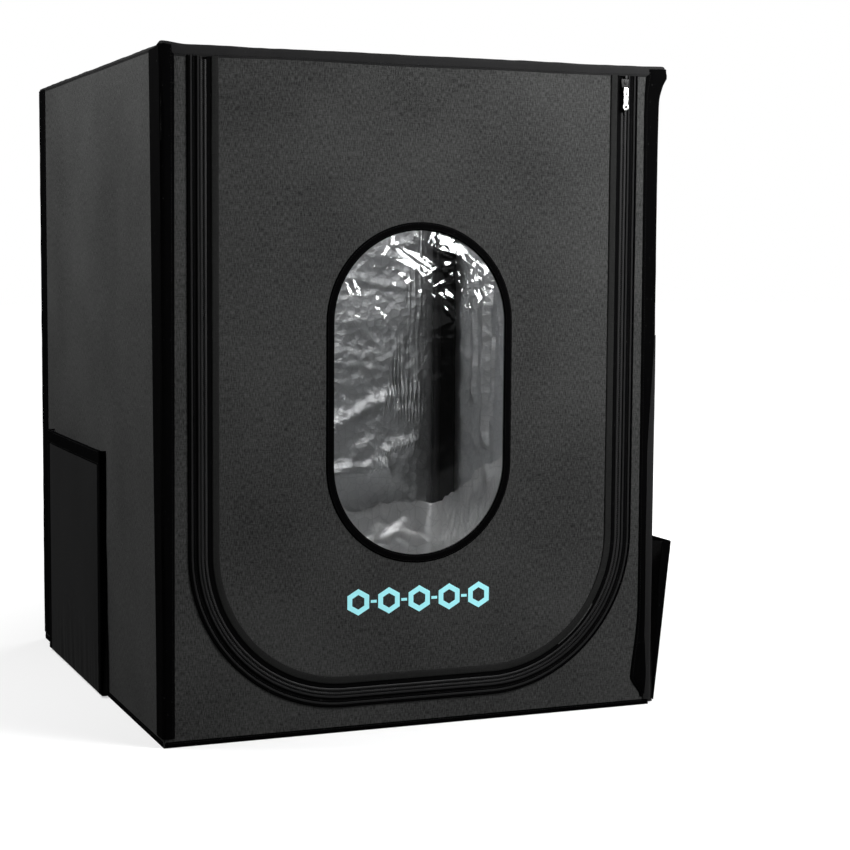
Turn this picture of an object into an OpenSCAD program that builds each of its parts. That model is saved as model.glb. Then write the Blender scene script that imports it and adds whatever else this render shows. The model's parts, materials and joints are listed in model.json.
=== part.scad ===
// Zip-front enclosure tent for a desktop 3D printer, in millimetres.
// Origin: centre of the base, on the floor. +X right, +Y back, +Z up; the door faces -Y.

/* [Cover] */
// Width of the cover across the front panel
cover_w = 710; // [590:5:860]
// Depth of the cover, front panel to back panel
cover_d = 770; // [590:5:930]
// Height of the cover
cover_h = 900; // [750:5:1080]
// Thickness of the outer fabric
fabric_t = 1.4; // [0.8:0.1:2]
// Thickness of the foil lining
foil_t = 0.3; // [0.1:0.1:0.8]
// Thickness of the edge binding tape
binding_t = 1.2; // [0.6:0.1:1.4]
// Height of the binding round the top edge
top_binding_h = 12; // [8:1:20]
// Height of the binding round the bottom edge
bottom_binding_h = 11; // [6:1:16]
// Width of the corner binding on the front and back panels
corner_binding_face = 18; // [12:1:22]
// Width of the corner binding on the side panels
corner_binding_side = 42; // [20:1:60]

/* [Door] */
// Plain strip between the zip and the cover's side edge
jamb_w = 34; // [30:1:60]
// Plain strip between the zip and the floor
sill_h = 35; // [30:1:80]
// Outer radius of the zip's two lower bends
zip_r = 215; // [120:5:240]

/* [Window] */
// Width of the window over its binding
window_w = 268; // [160:2:320]
// Height of the window over its binding
window_h = 458; // [330:2:520]
// Height of the window's lowest point above the floor
window_z = 224; // [180:2:300]
// Width of the window binding
window_binding_w = 11; // [8:1:16]
// Thickness of the clear film
film_t = 0.5; // [0.3:0.1:1]

/* [Zip] */
// Width of one zip tape, without its coil
tape_w = 16; // [12:1:18]
// Thickness of the zip tape
tape_t = 1; // [0.6:0.1:1.2]
// Width of one coil
coil_w = 3.3; // [2.6:0.1:3.6]
// Thickness of the coil
coil_t = 2.4; // [1.8:0.1:2.8]
// Gap between the two coils
coil_gap = 2.4; // [2.2:0.1:3]
// Length of the slider
slider_l = 18; // [14:1:20]
// Length of the pull tab, pivot to tip
tab_l = 29; // [20:1:40]
// Width of the pull tab's round end
tab_w = 9.2; // [7:0.2:11]
// Radius of the pull tab's pin
tab_pin_r = 0.8; // [0.6:0.1:1]

/* [Pockets] */
// Width of each side pocket
pocket_w = 365; // [200:5:365]
// Height of the left pocket
left_pocket_h = 358; // [200:2:420]
// Front edge of the left pocket, ahead of or behind the middle of the side
left_pocket_y = -75; // [-150:5:-75]
// Lean of the left pocket as it hangs, in degrees
left_pocket_lean = 0; // [0:1:8]
// Height of the right pocket
right_pocket_h = 236; // [150:2:420]
// Distance of the right pocket's front edge from the front panel
right_pocket_inset = 6; // [4:1:60]
// Lean of the right pocket as it hangs, in degrees
right_pocket_lean = 6; // [4:1:8]
// Depth of the pocket floor
pocket_floor = 10; // [8:1:16]
// Thickness of the pocket panel
pocket_t = 1.6; // [1:0.1:2.4]
// Height of the hem round the pocket's mouth
pocket_hem = 22; // [14:1:30]
// Width of the binding down each pocket side
pocket_side = 14; // [8:1:20]

/* [Frame] */
// Outer diameter of the frame tubes
tube_d = 19; // [12:0.5:23]
// Wall of the frame tubes
tube_wall = 0.8; // [0.6:0.1:1.5]
// Wall of the corner connectors' sockets
socket_wall = 3; // [2:0.5:4]
// Length of a connector arm from the corner's centre
arm_l = 45; // [35:1:60]

/* [Rear port] */
// Width of the cable port
port_w = 140; // [80:5:180]
// Height of the cable port
port_h = 70; // [50:5:90]
// Sideways place of the port's centre
port_x = 180; // [-180:5:180]
// Height of the port's centre
port_z = 110; // [100:5:200]
// Corner radius of the port
port_r = 12; // [6:1:20]

/* [Roll-up straps] */
// Length of each strap
strap_l = 168; // [120:2:180]
// Width of each strap
strap_w = 25; // [20:1:38]
// Thickness of each strap
strap_t = 1.5; // [1:0.1:2]
// Distance of each strap from the middle of the door
strap_x = 170; // [160:2:220]

/* [Hidden] */
$fn = 96;

// Running gap between pieces that move past each other
move_gap = 0.4;
// Small overlap that makes a cut pass right through
cut = 1;

front_y = -cover_d / 2;
side_x = cover_w / 2;
header_z = cover_h - top_binding_h;
lining_y = front_y + fabric_t;
inside_y = lining_y + foil_t;

// Zip, measured inwards from the outer edge of the cover-side tape
zip_half = side_x - jamb_w;
cover_coil_in = tape_w;
centre_in = tape_w + coil_w + coil_gap / 2;
door_coil_in = centre_in + coil_gap / 2;
door_tape_in = door_coil_in + coil_w;
zip_band = door_tape_in + tape_w;
slider_w = 12.4;
slider_side_gap = 2.3;
fabric_slot = slider_w / 2 + slider_side_gap;
cover_edge_in = centre_in - fabric_slot;
door_edge_in = centre_in + fabric_slot;
door_top_z = header_z - 0.6;
tape_y = front_y - tape_t;
coil_y = front_y - tape_t / 2 - coil_t / 2;

// Slider, parked just under its stop
stop_l = 4;
stop_top_z = header_z - 1;
coil_top_z = stop_top_z - stop_l;
slider_top_z = coil_top_z - 1;
slider_x = zip_half - centre_in;
slider_plate_t = 1.4;
slider_gap = 0.5;
slider_front_y = coil_y - slider_gap - slider_plate_t;
slider_back_y = coil_y + coil_t + slider_gap;
slider_post_w = coil_gap - 2 * slider_gap;
slider_post_l = 4;
lug_t = 1.2;
lug_l = 5;
lug_out = 4.6;
tab_t = 1.2;
tab_neck_w = 6.4;
tab_hole_r = tab_w / 4.6;
pin_gap = 0.06;
tab_pin_y = slider_front_y - lug_out + tab_pin_r + 1;
tab_pin_z = slider_top_z - slider_l + lug_l / 2 + 1.5;
lug_in = tab_neck_w / 2 + move_gap;
// The door's half of the zip ends below the parked pull tab, so the door clears it
park_gap = 3;
door_zip_top_z = tab_pin_z - tab_l - park_gap;

// Frame
tube_gap = 0.05;
socket_r = tube_d / 2 + tube_gap + socket_wall;
// The frame stands clear of the slider's back plate
frame_gap = slider_back_y + slider_plate_t + move_gap - inside_y;
frame_in = fabric_t + foil_t + frame_gap + socket_r;
frame_x = side_x - frame_in;
frame_y = cover_d / 2 - frame_in;
frame_low = frame_in;
frame_high = cover_h - frame_in;
socket_floor = tube_d / 2 + 0.5;
tube_end = socket_floor + 0.5;

// Pockets
pocket_axis_x = side_x + pocket_floor;
pocket_axis_z = 5;
pocket_lift = 0.8;
seam_gap = 0.1;
pocket_floor_low = 1.5;
right_pocket_y = front_y + right_pocket_inset;

// Rear port
flap_gap = 0.4;
flap_over = 15;
port_ring_w = 12;
flap_t = fabric_t;

// Straps
strap_drop = 40;
strap_top_z = header_z - strap_drop;
strap_y = inside_y + move_gap;
patch_y = front_y + 45;
patch_l = 40;
patch_t = 1;

fabric_colour = "#33343a";
pocket_colour = "#1d1d20";
foil_colour = "#b9bcc0";
binding_colour = "#0c0c0d";
film_colour = "#cfe0e8";
steel_colour = "#3a3d42";
plastic_colour = "#17181a";
bright_colour = "#d8d8d8";

// ---------- helpers ----------

// Flat shape drawn in X and Z, stood up from y to y + t
module standing(y, t) {
    translate([0, y + t, 0])
        rotate([90, 0, 0])
            linear_extrude(t)
                children();
}

// One wall of a closed box of sheet: front and back run full width, sides fit between them
module box_wall(side, inset, t) {
    w = cover_w - 2 * inset;
    d = cover_d - 2 * inset;
    h = cover_h - 2 * inset;
    if (side == "front") translate([-w / 2, -d / 2, inset]) cube([w, t, h]);
    if (side == "back") translate([-w / 2, d / 2 - t, inset]) cube([w, t, h]);
    if (side == "left") translate([-w / 2, t - d / 2, inset]) cube([t, d - 2 * t, h]);
    if (side == "right") translate([w / 2 - t, t - d / 2, inset]) cube([t, d - 2 * t, h]);
    if (side == "top") translate([t - w / 2, t - d / 2, inset + h - t])
        cube([w - 2 * t, d - 2 * t, t]);
    if (side == "floor") translate([t - w / 2, t - d / 2, inset])
        cube([w - 2 * t, d - 2 * t, t]);
}

// The zip's outline, open at the top: a rectangle with two round lower corners
module u_shape(inset, top_z) {
    half = zip_half - inset;
    r = zip_r - inset;
    low = sill_h + inset;
    translate([-half, low + r]) square([2 * half, top_z - low - r]);
    translate([r - half, low]) square([2 * (half - r), r + cut]);
    for (s = [-1, 1])
        translate([s * (half - r), low + r])
            circle(r);
}

// A strip that follows the zip between two insets
module u_band(inset_a, inset_b, top_z) {
    difference() {
        u_shape(inset_a, top_z);
        u_shape(inset_b, top_z + cut);
    }
}

// An upright slot with fully round ends, inset from the window binding's outer edge
module window_shape(inset) {
    r = window_w / 2 - inset;
    low = window_z + window_w / 2;
    high = window_z + window_h - window_w / 2;
    translate([-r, low]) square([2 * r, high - low]);
    for (z = [low, high])
        translate([0, z])
            circle(r);
}

module rounded_rect(w, h, r) {
    square([w - 2 * r, h], center = true);
    square([w, h - 2 * r], center = true);
    for (sx = [-1, 1], sy = [-1, 1])
        translate([sx * (w / 2 - r), sy * (h / 2 - r)])
            circle(r);
}

module place_port() {
    translate([port_x, port_z]) children();
}

// ---------- cover ----------

module front_panel() {
    color(fabric_colour)
        standing(front_y, fabric_t)
            difference() {
                translate([-side_x, 0]) square([cover_w, cover_h]);
                u_shape(cover_edge_in, header_z);
            }
}

module front_lining() {
    color(foil_colour)
        standing(lining_y, foil_t)
            difference() {
                translate([fabric_t - side_x, fabric_t])
                    square([cover_w - 2 * fabric_t, cover_h - 2 * fabric_t]);
                u_shape(cover_edge_in, header_z);
            }
}

// Back wall of fabric or foil, with the cable port cut through
module back_wall(inset, t) {
    difference() {
        box_wall("back", inset, t);
        standing(cover_d / 2 - inset - t - cut, t + 2 * cut)
            place_port() rounded_rect(port_w, port_h, port_r);
    }
}

module back_panel() {
    color(fabric_colour) back_wall(0, fabric_t);
}

module back_lining() {
    color(foil_colour) back_wall(fabric_t, foil_t);
}

module fabric_wall(side) {
    color(fabric_colour) box_wall(side, 0, fabric_t);
}

module foil_wall(side) {
    color(foil_colour) box_wall(side, fabric_t, foil_t);
}

// Folded tape up one vertical corner; sx and sy are the corner's signs
module corner_binding(sx, sy) {
    color(binding_colour)
        translate([0, 0, 1 + bottom_binding_h])
            linear_extrude(header_z - 1 - bottom_binding_h)
                scale_corner(sx, sy)
                    difference() {
                        translate([side_x - corner_binding_face, cover_d / 2 - corner_binding_side])
                            square([corner_binding_face + binding_t, corner_binding_side + binding_t]);
                        translate([side_x - corner_binding_face - cut,
                                   cover_d / 2 - corner_binding_side - cut])
                            square([corner_binding_face + cut, corner_binding_side + cut]);
                    }
}

module scale_corner(sx, sy) {
    mirror([sx < 0 ? 1 : 0, 0, 0])
        mirror([0, sy < 0 ? 1 : 0, 0])
            children();
}

module top_binding() {
    color(binding_colour)
        difference() {
            translate([-side_x - binding_t, front_y - binding_t, header_z])
                cube([cover_w + 2 * binding_t, cover_d + 2 * binding_t, top_binding_h + binding_t]);
            translate([-side_x, front_y, header_z - cut])
                cube([cover_w, cover_d, top_binding_h + cut]);
            translate([top_binding_h - side_x, front_y + top_binding_h, cover_h - cut])
                cube([cover_w - 2 * top_binding_h, cover_d - 2 * top_binding_h, binding_t + 2 * cut]);
        }
}

module bottom_binding() {
    color(binding_colour)
        difference() {
            translate([-side_x - binding_t, front_y - binding_t, 1])
                cube([cover_w + 2 * binding_t, cover_d + 2 * binding_t, bottom_binding_h]);
            translate([-side_x, front_y, 0])
                cube([cover_w, cover_d, bottom_binding_h + 2 * cut]);
        }
}

// ---------- frame ----------

// Hollow tube along +Z between two heights
module tube(from, to) {
    color(steel_colour)
        translate([0, 0, from])
            difference() {
                cylinder(h = to - from, d = tube_d);
                translate([0, 0, -cut])
                    cylinder(h = to - from + 2 * cut, d = tube_d - 2 * tube_wall);
            }
}

module upright(sx, sy) {
    translate([sx * frame_x, sy * frame_y, 0])
        tube(frame_low + tube_end, frame_high - tube_end);
}

module rail_x(sy, z) {
    translate([0, sy * frame_y, z])
        rotate([0, 90, 0])
            tube(tube_end - frame_x, frame_x - tube_end);
}

module rail_y(sx, z) {
    translate([sx * frame_x, 0, z])
        rotate([-90, 0, 0])
            tube(tube_end - frame_y, frame_y - tube_end);
}

// Three-way corner: arms along -X, -Y and +Z, each with a blind socket
module connector() {
    color(plastic_colour)
        difference() {
            union() {
                sphere(socket_r);
                rotate([0, -90, 0]) cylinder(h = arm_l, r = socket_r);
                rotate([90, 0, 0]) cylinder(h = arm_l, r = socket_r);
                cylinder(h = arm_l, r = socket_r);
            }
            for (turn = [[0, -90, 0], [90, 0, 0], [0, 0, 0]])
                rotate(turn)
                    translate([0, 0, socket_floor])
                        cylinder(h = arm_l, r = tube_d / 2 + tube_gap);
        }
}

// Four connectors at one level; up is 1 where the upright rises from them
module connector_level(z, up) {
    for (sx = [-1, 1], sy = [-1, 1])
        scale_corner(sx, sy)
            translate([frame_x, frame_y, z])
                mirror([0, 0, up > 0 ? 0 : 1])
                    connector();
}

module top_connectors() {
    connector_level(frame_high, -1);
}

module bottom_connectors() {
    connector_level(frame_low, 1);
}

// ---------- zip ----------

module cover_zip_tape() {
    color(binding_colour)
        standing(tape_y, tape_t)
            u_band(0, cover_coil_in, stop_top_z);
}

module cover_zip_coil() {
    color(binding_colour)
        standing(coil_y, coil_t)
            u_band(cover_coil_in, cover_coil_in + coil_w, coil_top_z);
}

module zip_stops() {
    color(plastic_colour)
        for (s = [-1, 1])
            translate([s * (zip_half - cover_coil_in - coil_w / 2), coil_y + coil_t / 2,
                       coil_top_z + stop_l / 2])
                cube([coil_w, coil_t + 0.6, stop_l], center = true);
}

module door_zip_tape() {
    color(binding_colour)
        standing(tape_y, tape_t)
            u_band(door_tape_in, zip_band, door_zip_top_z);
}

module door_zip_coil() {
    color(binding_colour)
        standing(coil_y, coil_t)
            u_band(door_coil_in, door_tape_in, door_zip_top_z);
}

// Two plates joined by a post, with two bored lugs for the pull tab
module zip_slider() {
    plate_z = slider_top_z - slider_l;
    nose_r = 3;
    color(plastic_colour)
        translate([slider_x, 0, 0]) union() {
            for (y = [slider_front_y, slider_back_y])
                standing(y, slider_plate_t)
                    translate([0, plate_z + slider_l / 2])
                        rounded_rect(slider_w, slider_l, nose_r);
            translate([-slider_post_w / 2, slider_front_y + slider_plate_t,
                       slider_top_z - slider_post_l])
                cube([slider_post_w, slider_back_y - slider_front_y - slider_plate_t, slider_post_l]);
            difference() {
                for (s = [-1, 1])
                    translate([s * (lug_in + lug_t / 2), slider_front_y - lug_out / 2, tab_pin_z])
                        cube([lug_t, lug_out, lug_l], center = true);
                translate([-slider_w / 2, tab_pin_y, tab_pin_z])
                    rotate([0, 90, 0])
                        cylinder(h = slider_w, r = tab_pin_r + pin_gap);
            }
        }
}

module pull_tab() {
    end_r = tab_w / 2;
    neck_r = tab_pin_r + 1;
    color(bright_colour)
        translate([slider_x, 0, tab_pin_z]) union() {
            standing(tab_pin_y - tab_t / 2, tab_t)
                difference() {
                    union() {
                        translate([-tab_neck_w / 2, end_r - tab_l])
                            square([tab_neck_w, tab_l - end_r + neck_r]);
                        translate([0, end_r - tab_l]) circle(end_r);
                    }
                    translate([0, end_r - tab_l]) circle(tab_hole_r);
                }
            translate([-lug_in - lug_t, tab_pin_y, 0])
                rotate([0, 90, 0])
                    cylinder(h = 2 * (lug_in + lug_t), r = tab_pin_r);
        }
}

// ---------- door ----------

module door_panel() {
    color(fabric_colour)
        standing(front_y, fabric_t)
            difference() {
                u_shape(door_edge_in, door_top_z);
                window_shape(window_binding_w);
            }
}

module door_lining() {
    color(foil_colour)
        standing(lining_y, foil_t)
            difference() {
                u_shape(door_edge_in, door_top_z);
                window_shape(window_binding_w);
            }
}

module window_film() {
    color(film_colour, 0.35)
        standing(inside_y, film_t)
            window_shape(window_binding_w / 4);
}

// Folded tape round the window: one ring outside and one inside over the film
module window_binding() {
    color(binding_colour)
        for (y = [front_y - binding_t, inside_y + film_t])
            standing(y, binding_t)
                difference() {
                    window_shape(0);
                    window_shape(window_binding_w);
                }
}

// Hook-and-loop strap that hangs on the door's inside and ties up the rolled door
module roll_strap(s) {
    color(binding_colour)
        standing(strap_y, strap_t)
            translate([s * strap_x - strap_w / 2, strap_top_z - strap_l])
                square([strap_w, strap_l]);
}

module roll_strap_patches() {
    color(binding_colour)
        for (s = [-1, 1])
            translate([s * strap_x - strap_w / 2, patch_y, cover_h])
                cube([strap_w, patch_l, patch_t]);
}

// ---------- pockets ----------
// Drawn on the right side; the left one is mirrored. y is the front edge.

module pocket_swing(lean) {
    translate([pocket_axis_x, 0, pocket_axis_z])
        rotate([0, lean, 0])
            children();
}

module pocket_panel(y, h, lean) {
    color(pocket_colour)
        pocket_swing(lean)
            translate([0, y, pocket_lift])
                cube([pocket_t, pocket_w, h - pocket_axis_z - pocket_lift]);
}

module pocket_binding(y, h, lean) {
    top = h - pocket_axis_z;
    color(binding_colour)
        pocket_swing(lean)
            translate([pocket_t, y, 0]) {
                translate([0, 0, top - pocket_hem]) cube([binding_t, pocket_w, pocket_hem]);
                for (at = [0, pocket_w - pocket_side])
                    translate([0, at, pocket_lift])
                        cube([binding_t, pocket_side, top - pocket_hem - pocket_lift]);
            }
}

module pocket_floor_strip(y) {
    color(pocket_colour)
        translate([side_x + binding_t, y, pocket_floor_low])
            cube([pocket_floor - binding_t + pocket_t, pocket_w,
                  pocket_axis_z - 0.5 - pocket_floor_low]);
}

// Folded side walls of the pocket, between the cover and the leaning panel
module pocket_gussets(y, h, lean) {
    low = pocket_lift;
    high = h - pocket_axis_z - 2;
    out = pocket_axis_x - seam_gap;
    color(pocket_colour)
        for (at = [y, y + pocket_w - fabric_t])
            standing(at, fabric_t)
                polygon([
                    [side_x + binding_t, pocket_axis_z + low],
                    [out + low * sin(lean), pocket_axis_z + low * cos(lean)],
                    [out + high * sin(lean), pocket_axis_z + high * cos(lean)],
                    [side_x + binding_t, pocket_axis_z + high * cos(lean)]
                ]);
}

module on_left() {
    mirror([1, 0, 0]) children();
}

// ---------- rear port ----------

module rear_port_binding() {
    color(binding_colour)
        standing(cover_d / 2, binding_t)
            place_port()
                difference() {
                    rounded_rect(port_w + 2 * port_ring_w, port_h + 2 * port_ring_w,
                                 port_r + port_ring_w);
                    rounded_rect(port_w, port_h, port_r);
                }
}

module rear_port_flap() {
    color(fabric_colour)
        standing(cover_d / 2 + binding_t + flap_gap, flap_t)
            place_port()
                rounded_rect(port_w + 2 * flap_over, port_h + 2 * flap_over, port_r);
}

// ---------- what is drawn ----------

front_panel();
fabric_wall("left");  // left_panel
fabric_wall("right");  // right_panel
back_panel();
fabric_wall("top");  // top_panel
fabric_wall("floor");  // floor_panel
front_lining();
foil_wall("left");  // left_lining
foil_wall("right");  // right_lining
back_lining();
foil_wall("top");  // top_lining
foil_wall("floor");  // floor_lining
corner_binding(-1, -1);  // corner_binding_front_left
corner_binding(1, -1);  // corner_binding_front_right
corner_binding(-1, 1);  // corner_binding_back_left
corner_binding(1, 1);  // corner_binding_back_right
top_binding();
bottom_binding();
upright(-1, -1);  // upright_front_left
upright(1, -1);  // upright_front_right
upright(-1, 1);  // upright_back_left
upright(1, 1);  // upright_back_right
rail_x(-1, frame_high);  // top_rail_front
rail_x(1, frame_high);  // top_rail_back
rail_y(-1, frame_high);  // top_rail_left
rail_y(1, frame_high);  // top_rail_right
rail_x(-1, frame_low);  // bottom_rail_front
rail_x(1, frame_low);  // bottom_rail_back
rail_y(-1, frame_low);  // bottom_rail_left
rail_y(1, frame_low);  // bottom_rail_right
top_connectors();
bottom_connectors();
cover_zip_tape();
cover_zip_coil();
zip_stops();
door_panel();
door_lining();
window_film();
window_binding();
door_zip_tape();
door_zip_coil();
zip_slider();
pull_tab();
roll_strap(-1);  // left_roll_strap
roll_strap(1);  // right_roll_strap
roll_strap_patches();
on_left() pocket_panel(left_pocket_y, left_pocket_h, left_pocket_lean);  // left_pocket_panel
on_left() pocket_binding(left_pocket_y, left_pocket_h, left_pocket_lean);  // left_pocket_binding
on_left() pocket_floor_strip(left_pocket_y);  // left_pocket_floor
on_left() pocket_gussets(left_pocket_y, left_pocket_h, left_pocket_lean);  // left_pocket_gussets
pocket_panel(right_pocket_y, right_pocket_h, right_pocket_lean);  // right_pocket_panel
pocket_binding(right_pocket_y, right_pocket_h, right_pocket_lean);  // right_pocket_binding
pocket_floor_strip(right_pocket_y);  // right_pocket_floor
pocket_gussets(right_pocket_y, right_pocket_h, right_pocket_lean);  // right_pocket_gussets
rear_port_binding();
rear_port_flap();
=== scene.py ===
"""The looks of a zip-front enclosure tent for a desktop 3D printer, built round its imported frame."""

import functools
import json
import logging
import math
from dataclasses import dataclass
from enum import Enum
from typing import Callable

import bpy
import numpy as np
from mathutils import Matrix, Vector, noise


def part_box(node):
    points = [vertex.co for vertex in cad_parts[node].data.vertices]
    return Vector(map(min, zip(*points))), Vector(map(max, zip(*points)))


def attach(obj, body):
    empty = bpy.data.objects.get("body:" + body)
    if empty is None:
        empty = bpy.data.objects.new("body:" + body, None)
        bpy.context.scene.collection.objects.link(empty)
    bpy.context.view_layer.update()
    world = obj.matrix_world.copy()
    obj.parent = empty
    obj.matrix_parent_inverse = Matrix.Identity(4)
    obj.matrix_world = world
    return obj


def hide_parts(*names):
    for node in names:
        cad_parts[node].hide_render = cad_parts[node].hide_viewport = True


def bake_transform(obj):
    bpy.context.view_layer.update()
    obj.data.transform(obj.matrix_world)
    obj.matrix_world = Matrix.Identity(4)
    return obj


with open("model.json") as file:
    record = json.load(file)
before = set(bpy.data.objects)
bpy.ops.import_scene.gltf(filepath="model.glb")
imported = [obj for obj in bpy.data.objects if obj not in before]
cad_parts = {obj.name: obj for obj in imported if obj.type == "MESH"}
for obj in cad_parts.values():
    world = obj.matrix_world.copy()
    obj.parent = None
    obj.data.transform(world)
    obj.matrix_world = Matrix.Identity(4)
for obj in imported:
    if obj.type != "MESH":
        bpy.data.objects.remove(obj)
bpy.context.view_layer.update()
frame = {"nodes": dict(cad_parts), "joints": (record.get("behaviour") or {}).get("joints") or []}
LOG = logging.getLogger("tent")

Array = np.ndarray
Obj = bpy.types.Object
Socket = bpy.types.NodeSocket
Triple = tuple[float, float, float]
Pair = tuple[float, float]
Place = Callable[[Array, Array], Array]
MM = 0.001
X, Y, Z = np.eye(3)


# ---------- measures taken from the frame ----------


def ends_of(node: str) -> Array:
    """The lowest and the highest corner of a frame node."""
    return np.array(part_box(node))


def low_of(node: str) -> Array:
    """The lowest corner of a frame node."""
    return ends_of(node)[0]


def high_of(node: str) -> Array:
    """The highest corner of a frame node."""
    return ends_of(node)[1]


def flat_run(node: str) -> float:
    """Half the straight run along the bottom edge of an upright frame node."""
    points = np.array([v.co for v in frame["nodes"][node].data.vertices])
    lowest = points[:, 2] < points[:, 2].min() + 0.01 * MM
    return points[lowest, 0].max()


# ---------- shape fields ----------


def stack(*columns: Array | float) -> Array:
    """Rows made of columns; a plain number fills its column."""
    return np.stack(np.broadcast_arrays(*columns), 1)


def crown(share: Array, power: int = 4) -> Array:
    """A strip's height across it: 1 over most of it and 0 at its two edges."""
    return np.clip(1 - (2 * share - 1) ** power, 0, 1)


def tape_lift(pucker: Array, share: Array) -> Array:
    """How far a flat sewn tape stands off, from its puckers and the share across it."""
    return MM * (0.15 + (1.0 + pucker) * crown(share, 6))


def ease(t: Array) -> Array:
    """A smooth step from 0 to 1."""
    t = np.clip(t, 0, 1)
    return t * t * (3 - 2 * t)


def hump(distance: Array, reach: float) -> Array:
    """A rounded bump, 1 at no distance and fading over its reach."""
    return np.exp(-((distance / reach) ** 2))


def billow(points: Array, size: float | tuple, seed: float) -> Array:
    """Smooth noise from about -1 to 1, at rows of points; size is the width of a billow."""
    at = points / np.array(size) + seed * 13.7
    return np.array([noise.noise(Vector(p)) for p in at])


def puckers(points: Array, *waves: tuple[float, float | tuple], seed: float) -> Array:
    """Several billows, each of its height and size, added up."""
    return sum(high * billow(points, size, seed + k) for k, (high, size) in enumerate(waves))


def creases(flat: Array, count: int, width: float, length: float, seed: int) -> Array:
    """Sharp folds laid at random over a sheet.

    Args:
        flat: The sheet's flat points, two columns.
        count: How many folds there are.
        width: Half the width of a fold.
        length: Half the length of a fold.
        seed: Picks the pattern.

    Returns:
        The height of the folds at each point, from about 0 to 1 and more where they cross.
    """
    pick = np.random.default_rng(seed)
    low, high = flat.min(0), flat.max(0)
    total = np.zeros(len(flat))
    for _ in range(count):
        turn = pick.uniform(0, math.pi)
        middle = pick.uniform(low, high)
        across = width * pick.uniform(0.5, 1.6)
        reach = length * pick.uniform(0.4, 1.5)
        bend = pick.uniform(-1.5, 1.5)
        out = flat - middle
        along = out @ (math.cos(turn), math.sin(turn))
        aside = out @ (-math.sin(turn), math.cos(turn)) + bend * along**2
        total += np.clip(1 - np.abs(aside) / across, 0, 1) * hump(along, reach)
    return total


@dataclass(frozen=True)
class Fold:
    """One large fold in a sheet, from one point to another."""

    start: Pair
    end: Pair
    width: float
    high: float

    def height(self, flat: Array) -> Array:
        """How far the fold stands up.

        Args:
            flat: The sheet's flat points, two columns.

        Returns:
            The height at each point: steep on one side, gentle on the other.
        """
        start, end = np.array(self.start), np.array(self.end)
        run = np.linalg.norm(end - start)
        way = (end - start) / run
        out = flat - start
        along = out @ way
        wave = 0.25 * self.width * billow(stack(along, 0, 0), 0.05, 100 * self.start[0])
        aside = out @ (-way[1], way[0]) + wave
        ends = ease((along + 0.02) / 0.03) * ease((run + 0.02 - along) / 0.03)
        steep = np.clip(1 + aside / (0.3 * self.width), 0, 1) * (aside < 0)
        gentle = np.clip(1 - aside / self.width, 0, 1) * (aside >= 0)
        return self.high * (steep + gentle) * ends


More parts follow.
